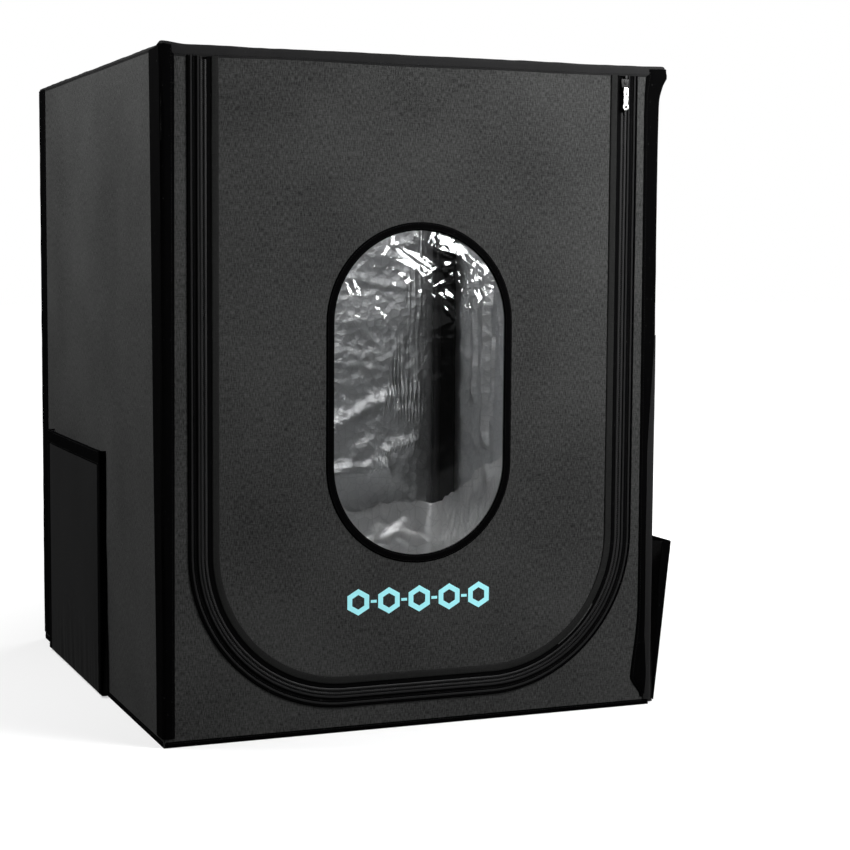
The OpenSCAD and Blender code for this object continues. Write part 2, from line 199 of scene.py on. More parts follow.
@dataclass(frozen=True)
class Outline:
    """An upright closed outline: a rectangle with rounded upper and lower corners."""

    mid: float
    half: float
    low: float
    high: float
    top_r: float = 0.0
    low_r: float = 0.0

    def grown(self, by: float) -> "Outline":
        """The same outline, larger all round."""
        top_r = self.top_r + by if self.top_r else 0.0
        low_r = self.low_r + by if self.low_r else 0.0
        return Outline(self.mid, self.half + by, self.low - by, self.high + by, top_r, low_r)

    def points(self) -> Array:
        """Points along it, clockwise from the middle of its top.

        Returns:
            An array of two columns, closed, with the first point repeated.
        """
        turn = np.linspace(0, math.pi / 2, 33)
        run = np.linspace(0, 1, 49)[1:-1]
        top_x, top_z = self.half - self.top_r, self.high - self.top_r
        low_x, low_z = self.half - self.low_r, self.low + self.low_r
        parts = [
            stack(run * top_x, self.high),
            stack(top_x + self.top_r * np.sin(turn), top_z + self.top_r * np.cos(turn)),
            stack(self.half, top_z + run * (low_z - top_z)),
            stack(low_x + self.low_r * np.cos(turn), low_z - self.low_r * np.sin(turn)),
            stack(low_x * (1 - run), self.low),
        ]
        right = np.concatenate(parts)
        left = right[::-1] * (-1, 1)
        start = np.array([[0.0, self.high]])
        bottom = np.array([[0.0, self.low]])
        return np.concatenate([start, right, bottom, left, start]) + (self.mid, 0)

    def along(self, t: Array) -> tuple[Array, Array]:
        """Points and outward directions at even steps round it.

        Args:
            t: How far round, from 0 to 1, clockwise from the middle of the top.

        Returns:
            The points and the unit directions, two columns each.
        """
        line = self.points()
        gone = np.concatenate([[0], np.cumsum(np.linalg.norm(np.diff(line, axis=0), axis=1))])
        gone /= gone[-1]

        def sample(s: Array) -> Array:
            """The points at given shares of the way round."""
            return np.stack([np.interp(s % 1, gone, line[:, k]) for k in (0, 1)], 1)

        step = 1e-4
        way = sample(t + step) - sample(t - step)
        way /= np.linalg.norm(way, axis=1, keepdims=True)
        return sample(t), stack(-way[:, 1], way[:, 0])

    def centre(self) -> Pair:
        """Its middle point."""
        return self.mid, (self.low + self.high) / 2

    def size(self) -> Pair:
        """Its width and height."""
        return 2 * self.half, self.high - self.low

    def inset(self, flat: Array) -> Array:
        """How far upright points lie inside its straight sides, where its middle is at x = 0."""
        x, z = flat[:, 0], flat[:, 2]
        return np.minimum.reduce([self.half - np.abs(x), z - self.low, self.high - z])

    def away(self, flat: Array) -> Array:
        """How far upright points lie from its middle."""
        return np.hypot(*(flat[:, [0, 2]] - self.centre()).T)

    def round_it(self) -> float:
        """The length of the outline."""
        return np.linalg.norm(np.diff(self.points(), axis=0), axis=1).sum()

    def area(self) -> float:
        """The area inside the outline."""
        x, z = self.points().T
        return abs(np.sum(x[:-1] * z[1:] - x[1:] * z[:-1])) / 2

    def seen_from(self, eye: Pair, angle: Array) -> Array:
        """Where rays from a point inside meet the outline.

        Args:
            eye: The point.
            angle: The rays' angles, clockwise from straight up.

        Returns:
            One point for each ray, two columns.
        """
        out = self.points()[:-1] - eye
        bearing = np.arctan2(out[:, 0], out[:, 1]) % (2 * math.pi)
        order = np.argsort(bearing)
        far = np.linalg.norm(out, axis=1)[order]
        reach = np.interp(angle % (2 * math.pi), bearing[order], far, period=2 * math.pi)
        return stack(np.sin(angle), np.cos(angle)) * reach[:, None] + eye

    def corners_from(self, eye: Pair) -> list[float]:
        """The bearings of its sharp corners from a point inside."""
        ends = [(self.half, self.high, self.top_r), (self.half, self.low, self.low_r)]
        found = [(s * x + self.mid, z) for x, z, r in ends for s in (1, -1) if r == 0]
        return [math.atan2(x - eye[0], z - eye[1]) % (2 * math.pi) for x, z in found]


@dataclass(frozen=True)
class ZipLine:
    """The zip's line: down the left side, round two lower bends and up the right side."""

    half: float
    bend: float
    low: float

    def at(self, t: Array, tops: Pair) -> tuple[Array, Array]:
        """Points and inward directions along the line.

        Args:
            t: How far along, from 0 at the top left to 1 at the top right.
            tops: The heights where the line starts and ends.

        Returns:
            The points and the unit directions, as x and z columns.
        """
        side = tops[0] - self.low - self.bend
        arc = self.bend * math.pi / 2
        run = 2 * (self.half - self.bend)
        s = t * self.length(tops)
        a = np.clip((s - side) / self.bend, 0, math.pi / 2)
        b = np.clip((s - side - arc - run) / self.bend, 0, math.pi / 2)
        inward = stack(np.cos(a) - np.sin(b), np.sin(a) - (1 - np.cos(b)))
        middle = np.clip((s - side - arc) / run, 0, 1)
        x = -self.half + self.bend * (1 - np.cos(a)) + run * middle + self.bend * np.sin(b)
        z = tops[0] - np.minimum(s, side) - self.bend * np.sin(a)
        z += self.bend * (1 - np.cos(b)) + np.maximum(s - side - 2 * arc - run, 0)
        return stack(x, z), inward

    def length(self, tops: Pair) -> float:
        """The length of the line between two heights."""
        sides = tops[0] + tops[1] - 2 * (self.low + self.bend)
        return sides + self.bend * math.pi + 2 * (self.half - self.bend)


def fold_over(edge: Array, first: Array, second: Array, s: Array, radius: float,
              lift: Array | float) -> Array:
    """Carries a tape over an edge where two faces meet.

    Args:
        edge: Points on the edge, one row each.
        first: The outward direction of the face where s is negative.
        second: The outward direction of the face where s is positive.
        s: Distance across the tape from the edge.
        radius: Radius of the fold.
        lift: How far the tape stands off the faces.

    Returns:
        The tape's points.
    """
    arc = radius * math.pi / 2
    a = (np.clip((s + arc / 2) / arc, 0, 1) * math.pi / 2)[:, None]
    out = np.cos(a) * first + np.sin(a) * second
    middle = edge - radius * first - radius * second
    before = np.minimum(s + arc / 2, 0)[:, None] * second
    after = np.maximum(s - arc / 2, 0)[:, None] * first
    return middle + radius * out + before - after + out * np.reshape(lift, (-1, 1))


# ---------- modelling ----------


class Skin(Enum):
    """Which way a sheet gets its thickness."""

    INWARD = -1.0
    MIDDLE = 0.0
    OUTWARD = 1.0


def pick_only(obj: Obj) -> None:
    """Selects one object and makes it active."""
    bpy.ops.object.select_all(action="DESELECT")
    obj.select_set(True)
    bpy.context.view_layer.objects.active = obj


def points_of(obj: Obj) -> Array:
    """A mesh's points, one row each."""
    flat = np.empty(len(obj.data.vertices) * 3)
    obj.data.vertices.foreach_get("co", flat)
    return flat.reshape(-1, 3)


def set_points(obj: Obj, points: Array) -> None:
    """Moves a mesh's points."""
    obj.data.vertices.foreach_set("co", np.ascontiguousarray(points).ravel())
    obj.data.update()


def set_chart(obj: Obj, chart: Array) -> None:
    """Sets a mesh's UV map from one pair for each of its points."""
    corner = np.empty(len(obj.data.loops), int)
    obj.data.loops.foreach_get("vertex_index", corner)
    obj.data.uv_layers[0].data.foreach_set("uv", chart[corner].ravel())


def named(name: str) -> Obj:
    """Names the object that was just added or joined."""
    obj = bpy.context.object
    obj.name = obj.data.name = name
    return obj


def primitive(name: str, kind: str, **settings: object) -> Obj:
    """Adds a primitive, with nothing else selected."""
    bpy.ops.object.select_all(action="DESELECT")
    getattr(bpy.ops.mesh, f"primitive_{kind}_add")(**settings)
    return named(name)


def in_edit(obj: Obj, *steps: Callable[[], object]) -> None:
    """Runs operators on all of a mesh in edit mode.

    Args:
        obj: The mesh object.
        steps: The operators, each as a call without arguments.
    """
    pick_only(obj)
    bpy.ops.object.mode_set(mode="EDIT")
    bpy.ops.mesh.select_all(action="SELECT")
    for step in steps:
        step()
    bpy.ops.object.mode_set(mode="OBJECT")


def apply_modifier(obj: Obj, kind: str, **settings: object) -> None:
    """Adds a modifier, sets it and applies it.

    Args:
        obj: The mesh object.
        kind: The modifier's type.
        settings: Its properties.
    """
    pick_only(obj)
    modifier = obj.modifiers.new(kind, kind)
    for key, value in settings.items():
        setattr(modifier, key, value)
    bpy.ops.object.modifier_apply(modifier=modifier.name)


def thicken(obj: Obj, thickness: float, skin: Skin) -> None:
    """Gives a sheet its thickness, on the side that skin names."""
    apply_modifier(obj, "SOLIDIFY", thickness=thickness, offset=skin.value, use_rim=True)


def smooth(obj: Obj, degrees: float = 40) -> None:
    """Shades a mesh smooth, but for edges sharper than an angle."""
    pick_only(obj)
    bpy.ops.object.shade_smooth_by_angle(angle=math.radians(degrees))


def settle_transform(obj: Obj) -> None:
    """Puts an object's place, turn and scale into its mesh."""
    pick_only(obj)
    bpy.ops.object.transform_apply(location=True, rotation=True, scale=True)


def joined(name: str, parts: list[Obj]) -> Obj:
    """Joins meshes into one piece.

    Args:
        name: The piece's name.
        parts: The meshes.

    Returns:
        The joined piece.
    """
    pick_only(parts[0])
    for part in parts:
        part.select_set(True)
    bpy.ops.object.join()
    return named(name)


@dataclass(frozen=True)
class Surface:
    """The shape of a sheet: a point for every u and v from 0 to 1, outward where u crosses v.

    flat is the cut's size along u and v. chart names the two axes that the weave follows
    where it runs with the frame and not with u and v.
    """

    place: Place
    flat: Pair
    chart: tuple[int, int] | None = None

    def sheet(self, name: str, steps: tuple[int, int], thickness: float,
              skin: Skin = Skin.INWARD, closed: bool = False) -> Obj:
        """Lays a grid over the surface.

        Args:
            name: The piece's name.
            steps: How many faces it has along u and v.
            thickness: The cloth's thickness.
            skin: The side the thickness goes to.
            closed: Whether u comes back to where it started.

        Returns:
            The sheet, with a UV map in metres.
        """
        obj = primitive(name, "grid", x_subdivisions=steps[0], y_subdivisions=steps[1], size=1,
                        calc_uvs=True)
        share = points_of(obj)[:, :2] + 0.5
        points = self.place(share[:, 0], share[:, 1])
        set_points(obj, points)
        set_chart(obj, share * self.flat if self.chart is None else points[:, self.chart])
        if closed:
            in_edit(obj, lambda: bpy.ops.mesh.remove_doubles(threshold=0.001 * MM))
        thicken(obj, thickness, skin)
        smooth(obj)
        return obj

    def directions(self, u: Array, v: Array) -> tuple[Array, Array, Array, Array]:
        """The surface's points with their along, across and outward directions.

        Args:
            u: Shares along the sheet.
            v: Shares across it.

        Returns:
            The points and the three unit directions.
        """
        step = 1e-4
        along = self.place(u + step, v) - self.place(u - step, v)
        across = self.place(u, v + step) - self.place(u, v - step)
        out = np.cross(along, across)
        along, out = [d / np.linalg.norm(d, axis=1, keepdims=True) for d in (along, out)]
        return self.place(u, v), along, np.cross(out, along), out

    def rows(self, name: str, master: Obj, pitch: float,
             at: tuple[float, ...], run: Pair = (0, 1),
             lift: float = 0.0, shift: float = 0.0) -> Obj:
        """Repeats a small shape in rows along the sheet.

        Args:
            name: The piece's name.
            master: The shape, its own x along the row and its z outwards; it stays as it is.
            pitch: Distance from one to the next.
            at: The rows' places across the sheet, as v.
            run: Where the rows start and end, as u.
            lift: Height over the surface.
            shift: Share of a pitch that the rows are moved along.

        Returns:
            One mesh with all the copies.
        """
        count = max(2, int(self.flat[0] * (run[1] - run[0]) / pitch))
        u = run[0] + (run[1] - run[0]) * (np.arange(count) + 0.5 + shift) / (count + 1)
        u, v = np.tile(u, len(at)), np.repeat(at, count)
        point, along, across, out = self.directions(u, v)
        return copies(name, master, point + out * lift, np.stack([along, across, out], 2))


def copies(name: str, master: Obj, points: Array, turns: Array) -> Obj:
    """Repeats a mesh at many places as one mesh.

    Args:
        name: The new piece's name.
        master: The mesh to repeat.
        points: The places, one row each.
        turns: A matrix for each place, with the copy's axes as its columns.

    Returns:
        The new piece.
    """
    shape = points_of(master)
    faces = [list(p.vertices) for p in master.data.polygons]
    every = (np.einsum("nij,vj->nvi", turns, shape) + points[:, None]).reshape(-1, 3)
    size = np.array([len(f) for f in faces])
    corner = np.concatenate(faces)
    starts = np.arange(len(points))[:, None] * len(shape)
    corners = (starts + corner[None]).ravel()
    sizes = np.tile(size, len(points))
    mesh = bpy.data.meshes.new(name)
    mesh.vertices.add(len(every))
    mesh.vertices.foreach_set("co", every.ravel())
    mesh.loops.add(len(corners))
    mesh.loops.foreach_set("vertex_index", corners)
    mesh.polygons.add(len(sizes))
    mesh.polygons.foreach_set("loop_start", np.cumsum(sizes) - sizes)
    mesh.polygons.foreach_set("use_smooth", np.ones(len(sizes), bool))
    mesh.update(calc_edges=True)
    mesh.validate()
    obj = bpy.data.objects.new(name, mesh)
    bpy.context.scene.collection.objects.link(obj)
    return obj


def grain(name: str, size: Triple, segments: int = 6,
          rings: int = 4) -> Obj:
    """A small rounded shape for a stitch or a coil turn.

    Args:
        name: The shape's name.
        size: Its length, width and height.
        segments: Its sides.
        rings: Its rings.

    Returns:
        The shape at the origin, to be repeated.
    """
    obj = primitive(name, "uv_sphere", segments=segments, ring_count=rings, radius=0.5)
    in_edit(
        obj,
        lambda: bpy.ops.transform.rotate(
            value=math.pi / 2, orient_axis="Y", center_override=(0, 0, 0)),
        lambda: bpy.ops.transform.resize(value=size, center_override=(0, 0, 0)),
    )
    return obj


def block(name: str, middle: Array, size: Triple, bevel: float,
          taper: float = 1.0) -> Obj:
    """A bevelled block, narrower at its lower end where it is tapered.

    Args:
        name: The piece's name.
        middle: Its middle.
        size: Its width, depth and height.
        bevel: Width of the bevel.
        taper: Width of its lower end as a share of its upper end.

    Returns:
        The block.
    """
    obj = primitive(name, "cube", size=1, location=middle)
    obj.scale = size
    settle_transform(obj)
    shape = points_of(obj)
    low = shape[:, 2] < middle[2]
    shape[low, 0] = middle[0] + (shape[low, 0] - middle[0]) * taper
    set_points(obj, shape)
    apply_modifier(obj, "BEVEL", width=bevel, segments=3, limit_method="ANGLE")
    smooth(obj)
    return obj


def rod(name: str, start: Array, end: Array, radius: float, sides: int = 24) -> Obj:
    """A round rod between two points.

    Args:
        name: The piece's name.
        start: The middle of one end.
        end: The middle of the other end.
        radius: Its radius.
        sides: How many sides it has.

    Returns:
        The rod.
    """
    way = Vector(end) - Vector(start)
    obj = primitive(name, "cylinder", vertices=sides, radius=radius, depth=way.length)
    obj.matrix_world = (
        Matrix.Translation((Vector(start) + Vector(end)) / 2)
        @ way.to_track_quat("Z", "Y").to_matrix().to_4x4())
    settle_transform(obj)
    return obj


# ---------- finishes ----------


class Tree:
    """A node tree with short calls for adding and joining nodes."""

    def __init__(self, tree: bpy.types.NodeTree) -> None:
        """Keeps the tree to build in."""
        self.tree = tree

    def feed(self, socket: Socket, value: object) -> None:
        """Joins another node's output to an input, or sets the input to a plain value."""
        if isinstance(value, Socket):
            self.tree.links.new(value, socket)
        else:
            socket.default_value = value

    def add(self, kind: str, values: dict | None = None, **settings: object) -> bpy.types.Node:
        """Adds a node.

        Args:
            kind: The node's type, without the words that all shader nodes begin with.
            values: What goes into its inputs: numbers, colours or other nodes' outputs.
            settings: Its properties.

        Returns:
            The node.
        """
        node = self.tree.nodes.new(f"ShaderNode{kind}")
        for key, value in settings.items():
            setattr(node, key, value)
        for key, value in (values or {}).items():
            self.feed(node.inputs[key], value)
        return node

    def math(self, operation: str, first: object, second: object = 0.0) -> Socket:
        """A Math node's result."""
        return self.add("Math", {0: first, 1: second}, operation=operation).outputs[0]

    def times(self, first: object, second: object) -> Socket:
        """The product of two values."""
        return self.math("MULTIPLY", first, second)

    def plus(self, first: object, second: object) -> Socket:
        """The sum of two values."""
        return self.math("ADD", first, second)

    def between(self, value: object, low: float, high: float, start: float = 0.0,
                end: float = 1.0) -> Socket:
        """Carries a value from start..end to low..high."""
        return self.add("MapRange", {"Value": value, "From Min": start, "From Max": end,
                                     "To Min": low, "To Max": high}).outputs[0]

    def noise(self, vector: object, scale: object, detail: float = 3.0,
              rough: float = 0.5) -> Socket:
        """A noise texture's value."""
        return self.add("TexNoise", {"Vector": vector, "Scale": scale, "Detail": detail,
                                     "Roughness": rough}).outputs[0]

    def stretched(self, vector: object, scale: Triple) -> Socket:
        """A vector scaled along each axis."""
        return self.add("Mapping", {"Vector": vector, "Scale": scale}).outputs[0]

    def mixed(self, factor: object, first: object, second: object) -> Socket:
        """A mix of two colours."""
        node = self.add("Mix", {0: factor}, data_type="RGBA")
        self.feed(node.inputs[6], first)
        self.feed(node.inputs[7], second)
        return node.outputs[2]

    def bump(self, height: object, strength: float, depth: float, **more: object) -> Socket:
        """A bumped normal, over another one where that is given."""
        return self.add("Bump", {"Height": height, "Strength": strength, "Distance": depth,
                                 **more}).outputs[0]


def group_tree(name: str, inputs: dict[str, float], outputs: list[str]) -> tuple:
    """Starts a shader node group.

    Args:
        name: The group's name.
        inputs: Each plain input's default value; a vector comes before them.
        outputs: The names of its outputs, all plain values.

    Returns:
        The group, its tree builder, its inputs and its output node.
    """
    group = bpy.data.node_groups.new(name, "ShaderNodeTree")
    group.interface.new_socket(name="Vector", in_out="INPUT", socket_type="NodeSocketVector")
    for key, value in inputs.items():
        group.interface.new_socket(
            name=key, in_out="INPUT", socket_type="NodeSocketFloat").default_value = value
    for key in outputs:
        group.interface.new_socket(name=key, in_out="OUTPUT", socket_type="NodeSocketFloat")
    given, put = (group.nodes.new(f"NodeGroup{end}") for end in ("Input", "Output"))
    return group, Tree(group), given.outputs, put.inputs


@functools.cache
def weave_group() -> bpy.types.NodeTree:
    """A plain weave with slubs and broad mottling.

    Returns:
        A group with a height for bump, a fine tone and a broad tone.
    """
    group, tree, given, put = group_tree("weave", {"Threads": 900.0, "Slub": 1.0},
                                         ["Height", "Tone", "Mottle"])
    vector = given["Vector"]
    parts = tree.add("SeparateXYZ", {0: vector}).outputs
    turn = tree.times(given["Threads"], 2 * math.pi)
    warp, weft = (tree.math("SINE", tree.times(parts[k], turn)) for k in (0, 1))
    cross = tree.between(tree.times(warp, weft), 0.35, 0.65)
    slub, pick = (tree.noise(tree.stretched(vector, scale), 1.0, 2.0)
                  for scale in ((760, 150, 1), (150, 640, 1)))
    slubs = tree.plus(tree.times(slub, 0.65), tree.times(pick, 0.35))
    slubs = tree.times(tree.math("SUBTRACT", slubs, 0.5), given["Slub"])
    tree.feed(put["Height"], tree.plus(cross, slubs))
    tree.feed(put["Tone"], tree.plus(cross, tree.times(slubs, 1.6)))
    tree.feed(put["Mottle"], tree.noise(vector, 5.0, 4.0))
    return group


@functools.cache
def crinkle_group() -> bpy.types.NodeTree:
    """Fine crinkles of foil or film, as facets over soft creases.

    Returns:
        A group with a height for bump and a mask of the sharpest creases, which the foil darkens as
        painted shade.
    """
    group, tree, given, put = group_tree("crinkle", {"Size": 80.0}, ["Height", "Crease"])
    warp = tree.add("TexNoise", {"Vector": given["Vector"], "Scale": 26.0, "Detail": 2.0})
    moved = tree.add("VectorMath", {0: warp.outputs[1], 1: (0.012, 0.012, 0.012),
                                    2: given["Vector"]}, operation="MULTIPLY_ADD").outputs[0]
    cells, facets = (tree.add("TexVoronoi", {"Vector": moved, "Scale": given["Size"]},
                              feature=kind).outputs[0] for kind in ("DISTANCE_TO_EDGE", "F1"))
    fine = tree.noise(moved, 300.0, 4.0, 0.6)
    tree.feed(put["Height"], tree.plus(facets, tree.times(fine, 0.5)))
    tree.feed(put["Crease"], tree.between(cells, 1.0, 0.0, 0.0, 0.05))
    return group


@functools.cache
def lint_group() -> bpy.types.NodeTree:
    """Specks of dust and lint and faint rubbing.

    Returns:
        A group with a mask of specks and one of rubbed patches.
    """
    group, tree, given, put = group_tree("lint", {"Size": 260.0}, ["Specks", "Rub"])
    specks = tree.noise(given["Vector"], given["Size"], 2.0)
    rub = tree.noise(given["Vector"], 14.0, 5.0, 0.6)
    tree.feed(put["Specks"], tree.between(specks, 0.0, 1.0, 0.70, 0.82))
    tree.feed(put["Rub"], tree.between(rub, 0.0, 1.0, 0.55, 0.8))
    return group


def solid(colour: Triple, share: float = 1.0) -> tuple[float, float, float, float]:
    """A colour with full alpha, lightened or darkened."""
    return (*(share * part for part in colour), 1.0)


@dataclass(frozen=True)
class Finish:
    """What every finish has: its name and its main colour."""

    name: str
    colour: Triple

    def start(self, chart: str = "UV") -> tuple[bpy.types.Material, Tree, Socket]:
        """Starts a material.

        Args:
            chart: The coordinates it follows: its own UV map, in metres, or the object's.

        Returns:
            The material, its tree builder and its coordinates.
        """
        material = bpy.data.materials.new(self.name)
        material.use_nodes = True
        tree = Tree(material.node_tree)
        return material, tree, tree.add("TexCoord").outputs[chart]

    def join(self, tree: Tree, **sockets: object) -> None:
        """Feeds the Principled BSDF.

        Args:
            tree: The tree builder.
            sockets: Values or outputs, with the input's name in lower case and underscores.
        """
        shader = tree.tree.nodes["Principled BSDF"]
        names = {s.name.lower().replace(" ", "_"): s for s in shader.inputs}
        for key, value in sockets.items():
            tree.feed(names[key], value)

    def use(self, tree: Tree, group: bpy.types.NodeTree, **values: object) -> Socket:
        """Places a node group in the material and gives its outputs."""
        node = tree.add("Group", node_tree=group)
        for key, value in values.items():
            tree.feed(node.inputs[key.capitalize()], value)
        return node.outputs


@dataclass(frozen=True)
class Cloth(Finish):
    """Woven cloth or tape, with its threads to the metre and how much they vary."""

    threads: float = 900.0
    slub: float = 1.0
    rough: float = 0.8
    sheen: float = 0.1
    specular: float = 0.25
    depth: float = 0.0003
    contrast: float = 0.5

    @functools.cache
    def material(self) -> bpy.types.Material:
        """The cloth's material: a weave with a few specks of lint."""
        material, tree, chart = self.start()
        weave = self.use(tree, weave_group(), vector=chart, threads=self.threads, slub=self.slub)
        lint = self.use(tree, lint_group(), vector=chart, size=260.0)
        tone = tree.plus(weave["Tone"], tree.between(weave["Mottle"], -0.35, 0.35))
        colour = tree.mixed(tone, *(solid(self.colour, 1 + k * self.contrast) for k in (-1, 1)))
        dusty = tree.mixed(tree.times(lint["Specks"], 0.25), colour, solid((0.16, 0.16, 0.16)))
        self.join(tree, base_color=dusty, normal=tree.bump(weave["Height"], 0.5, self.depth),
                  roughness=tree.between(lint["Rub"], self.rough, self.rough - 0.08),
                  sheen_weight=self.sheen, sheen_roughness=0.45, specular_ior_level=self.specular)
        return material


@dataclass(frozen=True)
class Foil(Finish):
    """Crinkled silver foil cloth."""

    rough: float = 0.27
    size: float = 70.0

    @functools.cache
    def material(self) -> bpy.types.Material:
        """The foil's material: creases over a faint weave, with painted shade darkening the sharpest
        creases.
        """
        material, tree, chart = self.start()
        crinkle = self.use(tree, crinkle_group(), vector=chart, size=self.size)
        weave = self.use(tree, weave_group(), vector=chart, threads=420.0, slub=0.2)
        # Painted shade: the sharpest creases are darkened to 80% of the foil's colour.
        tone = tree.mixed(crinkle["Crease"], solid(self.colour), solid(self.colour, 0.8))
        dull = tree.mixed(tree.between(weave["Mottle"], 0, 0.35), tone, solid(self.colour, 0.72))
        bump = tree.bump(crinkle["Height"], 0.7, 2.0 * MM)
        self.join(tree, base_color=dull, metallic=0.85,
                  roughness=tree.between(weave["Mottle"], self.rough, self.rough + 0.16),
                  normal=tree.bump(weave["Height"], 0.25, 0.3 * MM, Normal=bump))
        return material


@dataclass(frozen=True)
class Film(Finish):
    """Clear flexible film: light goes through it, and its two skins reflect a little."""

    clear: float = 0.035

    @functools.cache
    def material(self) -> bpy.types.Material:
        """The film's material: haze, scuffs and a rim that reflects more."""
        material, tree, chart = self.start()
        crinkle = self.use(tree, crinkle_group(), vector=chart, size=60.0)
        rim = tree.add("LayerWeight", {"Blend": 0.2}).outputs["Fresnel"]
        haze = tree.times(tree.noise(chart, 18.0, 4.0), 0.015)
        scuffs = tree.between(tree.noise(tree.stretched(chart, (160, 22, 1)), 1.0, 3.0),
                              0.0, 0.05, 0.66, 0.8)
        alpha = tree.plus(tree.plus(haze, scuffs), tree.plus(tree.times(rim, 0.22), self.clear))
        self.join(tree, base_color=solid(self.colour), metallic=1.0, alpha=alpha,
                  roughness=tree.between(crinkle["Crease"], 0.06, 0.12),
                  normal=tree.bump(crinkle["Height"], 0.06, 0.8 * MM))
        return material


@dataclass(frozen=True)
class Hard(Finish):
    """Moulded plastic, painted steel or plated metal."""

    metal: float = 0.0
    rough: float = 0.4
    grain: float = 900.0
    depth: float = 0.00006
    worn: Triple = (0.05, 0.05, 0.05)
    wear: float = 0.3
    specular: float = 0.4

    @functools.cache
    def material(self) -> bpy.types.Material:
        """The hard finish's material, rubbed in places."""
        material, tree, where = self.start("Object")
        lint = self.use(tree, lint_group(), vector=where, size=300.0)
        fine = tree.noise(where, self.grain, 2.0)
        colour = tree.mixed(tree.times(lint["Rub"], self.wear), solid(self.colour),
                            solid(self.worn))
        self.join(tree, base_color=colour, metallic=self.metal,
                  roughness=tree.between(lint["Rub"], self.rough, self.rough + 0.12),
                  specular_ior_level=self.specular, normal=tree.bump(fine, 0.4, self.depth))
        return material


@dataclass(frozen=True)
class Ink(Finish):
    """Printed ink that lets a little of the weave through."""

    @functools.cache
    def material(self) -> bpy.types.Material:
        """The ink's material: flat colour, thinned and specked by the weave."""
        material, tree, chart = self.start()
        weave = self.use(tree, weave_group(), vector=chart, threads=900.0, slub=1.0)
        lint = self.use(tree, lint_group(), vector=chart, size=420.0)
        colour = tree.mixed(tree.times(weave["Tone"], 0.3), solid(self.colour),
                            solid(self.colour, 0.75))
        worn = tree.mixed(tree.times(lint["Specks"], 0.5), colour, solid(self.colour, 0.4))
        self.join(tree, base_color=worn, roughness=0.6,
                  normal=tree.bump(weave["Height"], 0.4, 0.2 * MM))
        return material


OUTER = Cloth("charcoal_fabric", (0.030, 0.0305, 0.030), threads=820, slub=1.5, contrast=0.75,
              specular=0.08, sheen=0.03)
BAND = Cloth("sewn_zip_band", (0.0115, 0.0118, 0.0115), threads=700, slub=0.9, specular=0.05,
             sheen=0.0, depth=0.0005)
GUSSET = Cloth("grey_gusset_fabric", (0.022, 0.022, 0.022), threads=820, slub=0.7,
               specular=0.05, sheen=0.0)
WELT = Cloth("charcoal_welt", (0.0095, 0.0095, 0.0098), threads=700, slub=0.4, specular=0.08,
             sheen=0.02, depth=0.0005)
POCKET = Cloth("black_pocket_fabric", (0.0048, 0.0048, 0.005), threads=820, slub=0.5,
               specular=0.06, sheen=0.02)
BINDING = Cloth("black_binding_tape", (0.0009, 0.0009, 0.001), threads=620, slub=0.5, rough=0.85,
                sheen=0.0, specular=0.012, depth=0.0004)
ZIP_TAPE = Cloth("woven_zip_tape", (0.0014, 0.0014, 0.0015), threads=700, slub=0.6, rough=0.85,
                 sheen=0.0, specular=0.015, depth=0.0004)
WEBBING = Cloth("strap_webbing", (0.008, 0.008, 0.0085), threads=380, slub=0.5, sheen=0.02,
                specular=0.08, depth=0.0006)
THREAD = Hard("sewing_thread", (0.003, 0.003, 0.003), rough=0.6, grain=3000, specular=0.1,
              wear=0.1)
FOIL = Foil("silver_foil_lining", (0.80, 0.81, 0.82))
# A lighter copy of the lining foil: painted light, for the lower foil where light through the window
# falls.
PAINTED_LIT_FOIL = Foil("bright_floor_foil", (0.92, 0.92, 0.92), rough=0.22, size=55.0)
FILM = Film("clear_window_film", (0.95, 0.97, 0.98))
COIL = Hard("nylon_zip_coil", (0.0095, 0.0095, 0.0098), rough=0.5, wear=0.1, specular=0.15)
STEEL = Hard("black_tube_paint", (0.006, 0.006, 0.0065), rough=0.28, grain=600, depth=0.0001,
             wear=0.1)
MOULDED = Hard("moulded_black_plastic", (0.012, 0.012, 0.013), rough=0.42, grain=1200)
SLIDER = Hard("black_plated_slider", (0.005, 0.005, 0.005), metal=0.0, rough=0.4,
              worn=(0.1, 0.1, 0.1), wear=0.2, specular=0.12)
BRIGHT = Hard("bright_nickel", (0.62, 0.62, 0.61), metal=1.0, rough=0.34, worn=(0.4, 0.4, 0.4))
INK = Ink("pale_printed_ink", (0.33, 0.80, 0.86))


def dress(obj: Obj, finish: Finish) -> None:
    """Gives a piece its material."""
    obj.data.materials.clear()
    obj.data.materials.append(finish.material())
    LOG.info("%s: %s, %d faces", obj.name, finish.name, len(obj.data.polygons))


def settle(obj: Obj, finish: Finish, body: str, slot: str, *nodes: str) -> Obj:
    """Dresses a finished piece and gives it its place in the frame.

    Args:
        obj: The piece.
        finish: Its finish.
        body: The body it moves with.
        slot: The record's material slot; not used.
        nodes: The frame nodes that it stands for.

    Returns:
        The piece.
    """
    dress(obj, finish)
    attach(obj, body)
    if nodes:
        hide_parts(*nodes)
    return obj


@functools.cache
def stitch() -> Obj:
    """One sewn stitch, to be repeated."""
    return grain("stitch_master", (2.7 * MM, 0.7 * MM, 0.62 * MM), 5, 3)


STITCH_PITCH = 3.6 * MM


def sew(name: str, surface: Surface, at: tuple[float, ...], body: str,
        run: Pair = (0, 1), lift: float = 0.0) -> Obj:
    """Sews rows of stitches along a sheet, at shares across it, as one piece."""
    rows = surface.rows(name, stitch(), STITCH_PITCH, at, run, lift + 0.1 * MM)
    return settle(rows, THREAD, body, "edge_binding")


# ---------- the cover ----------


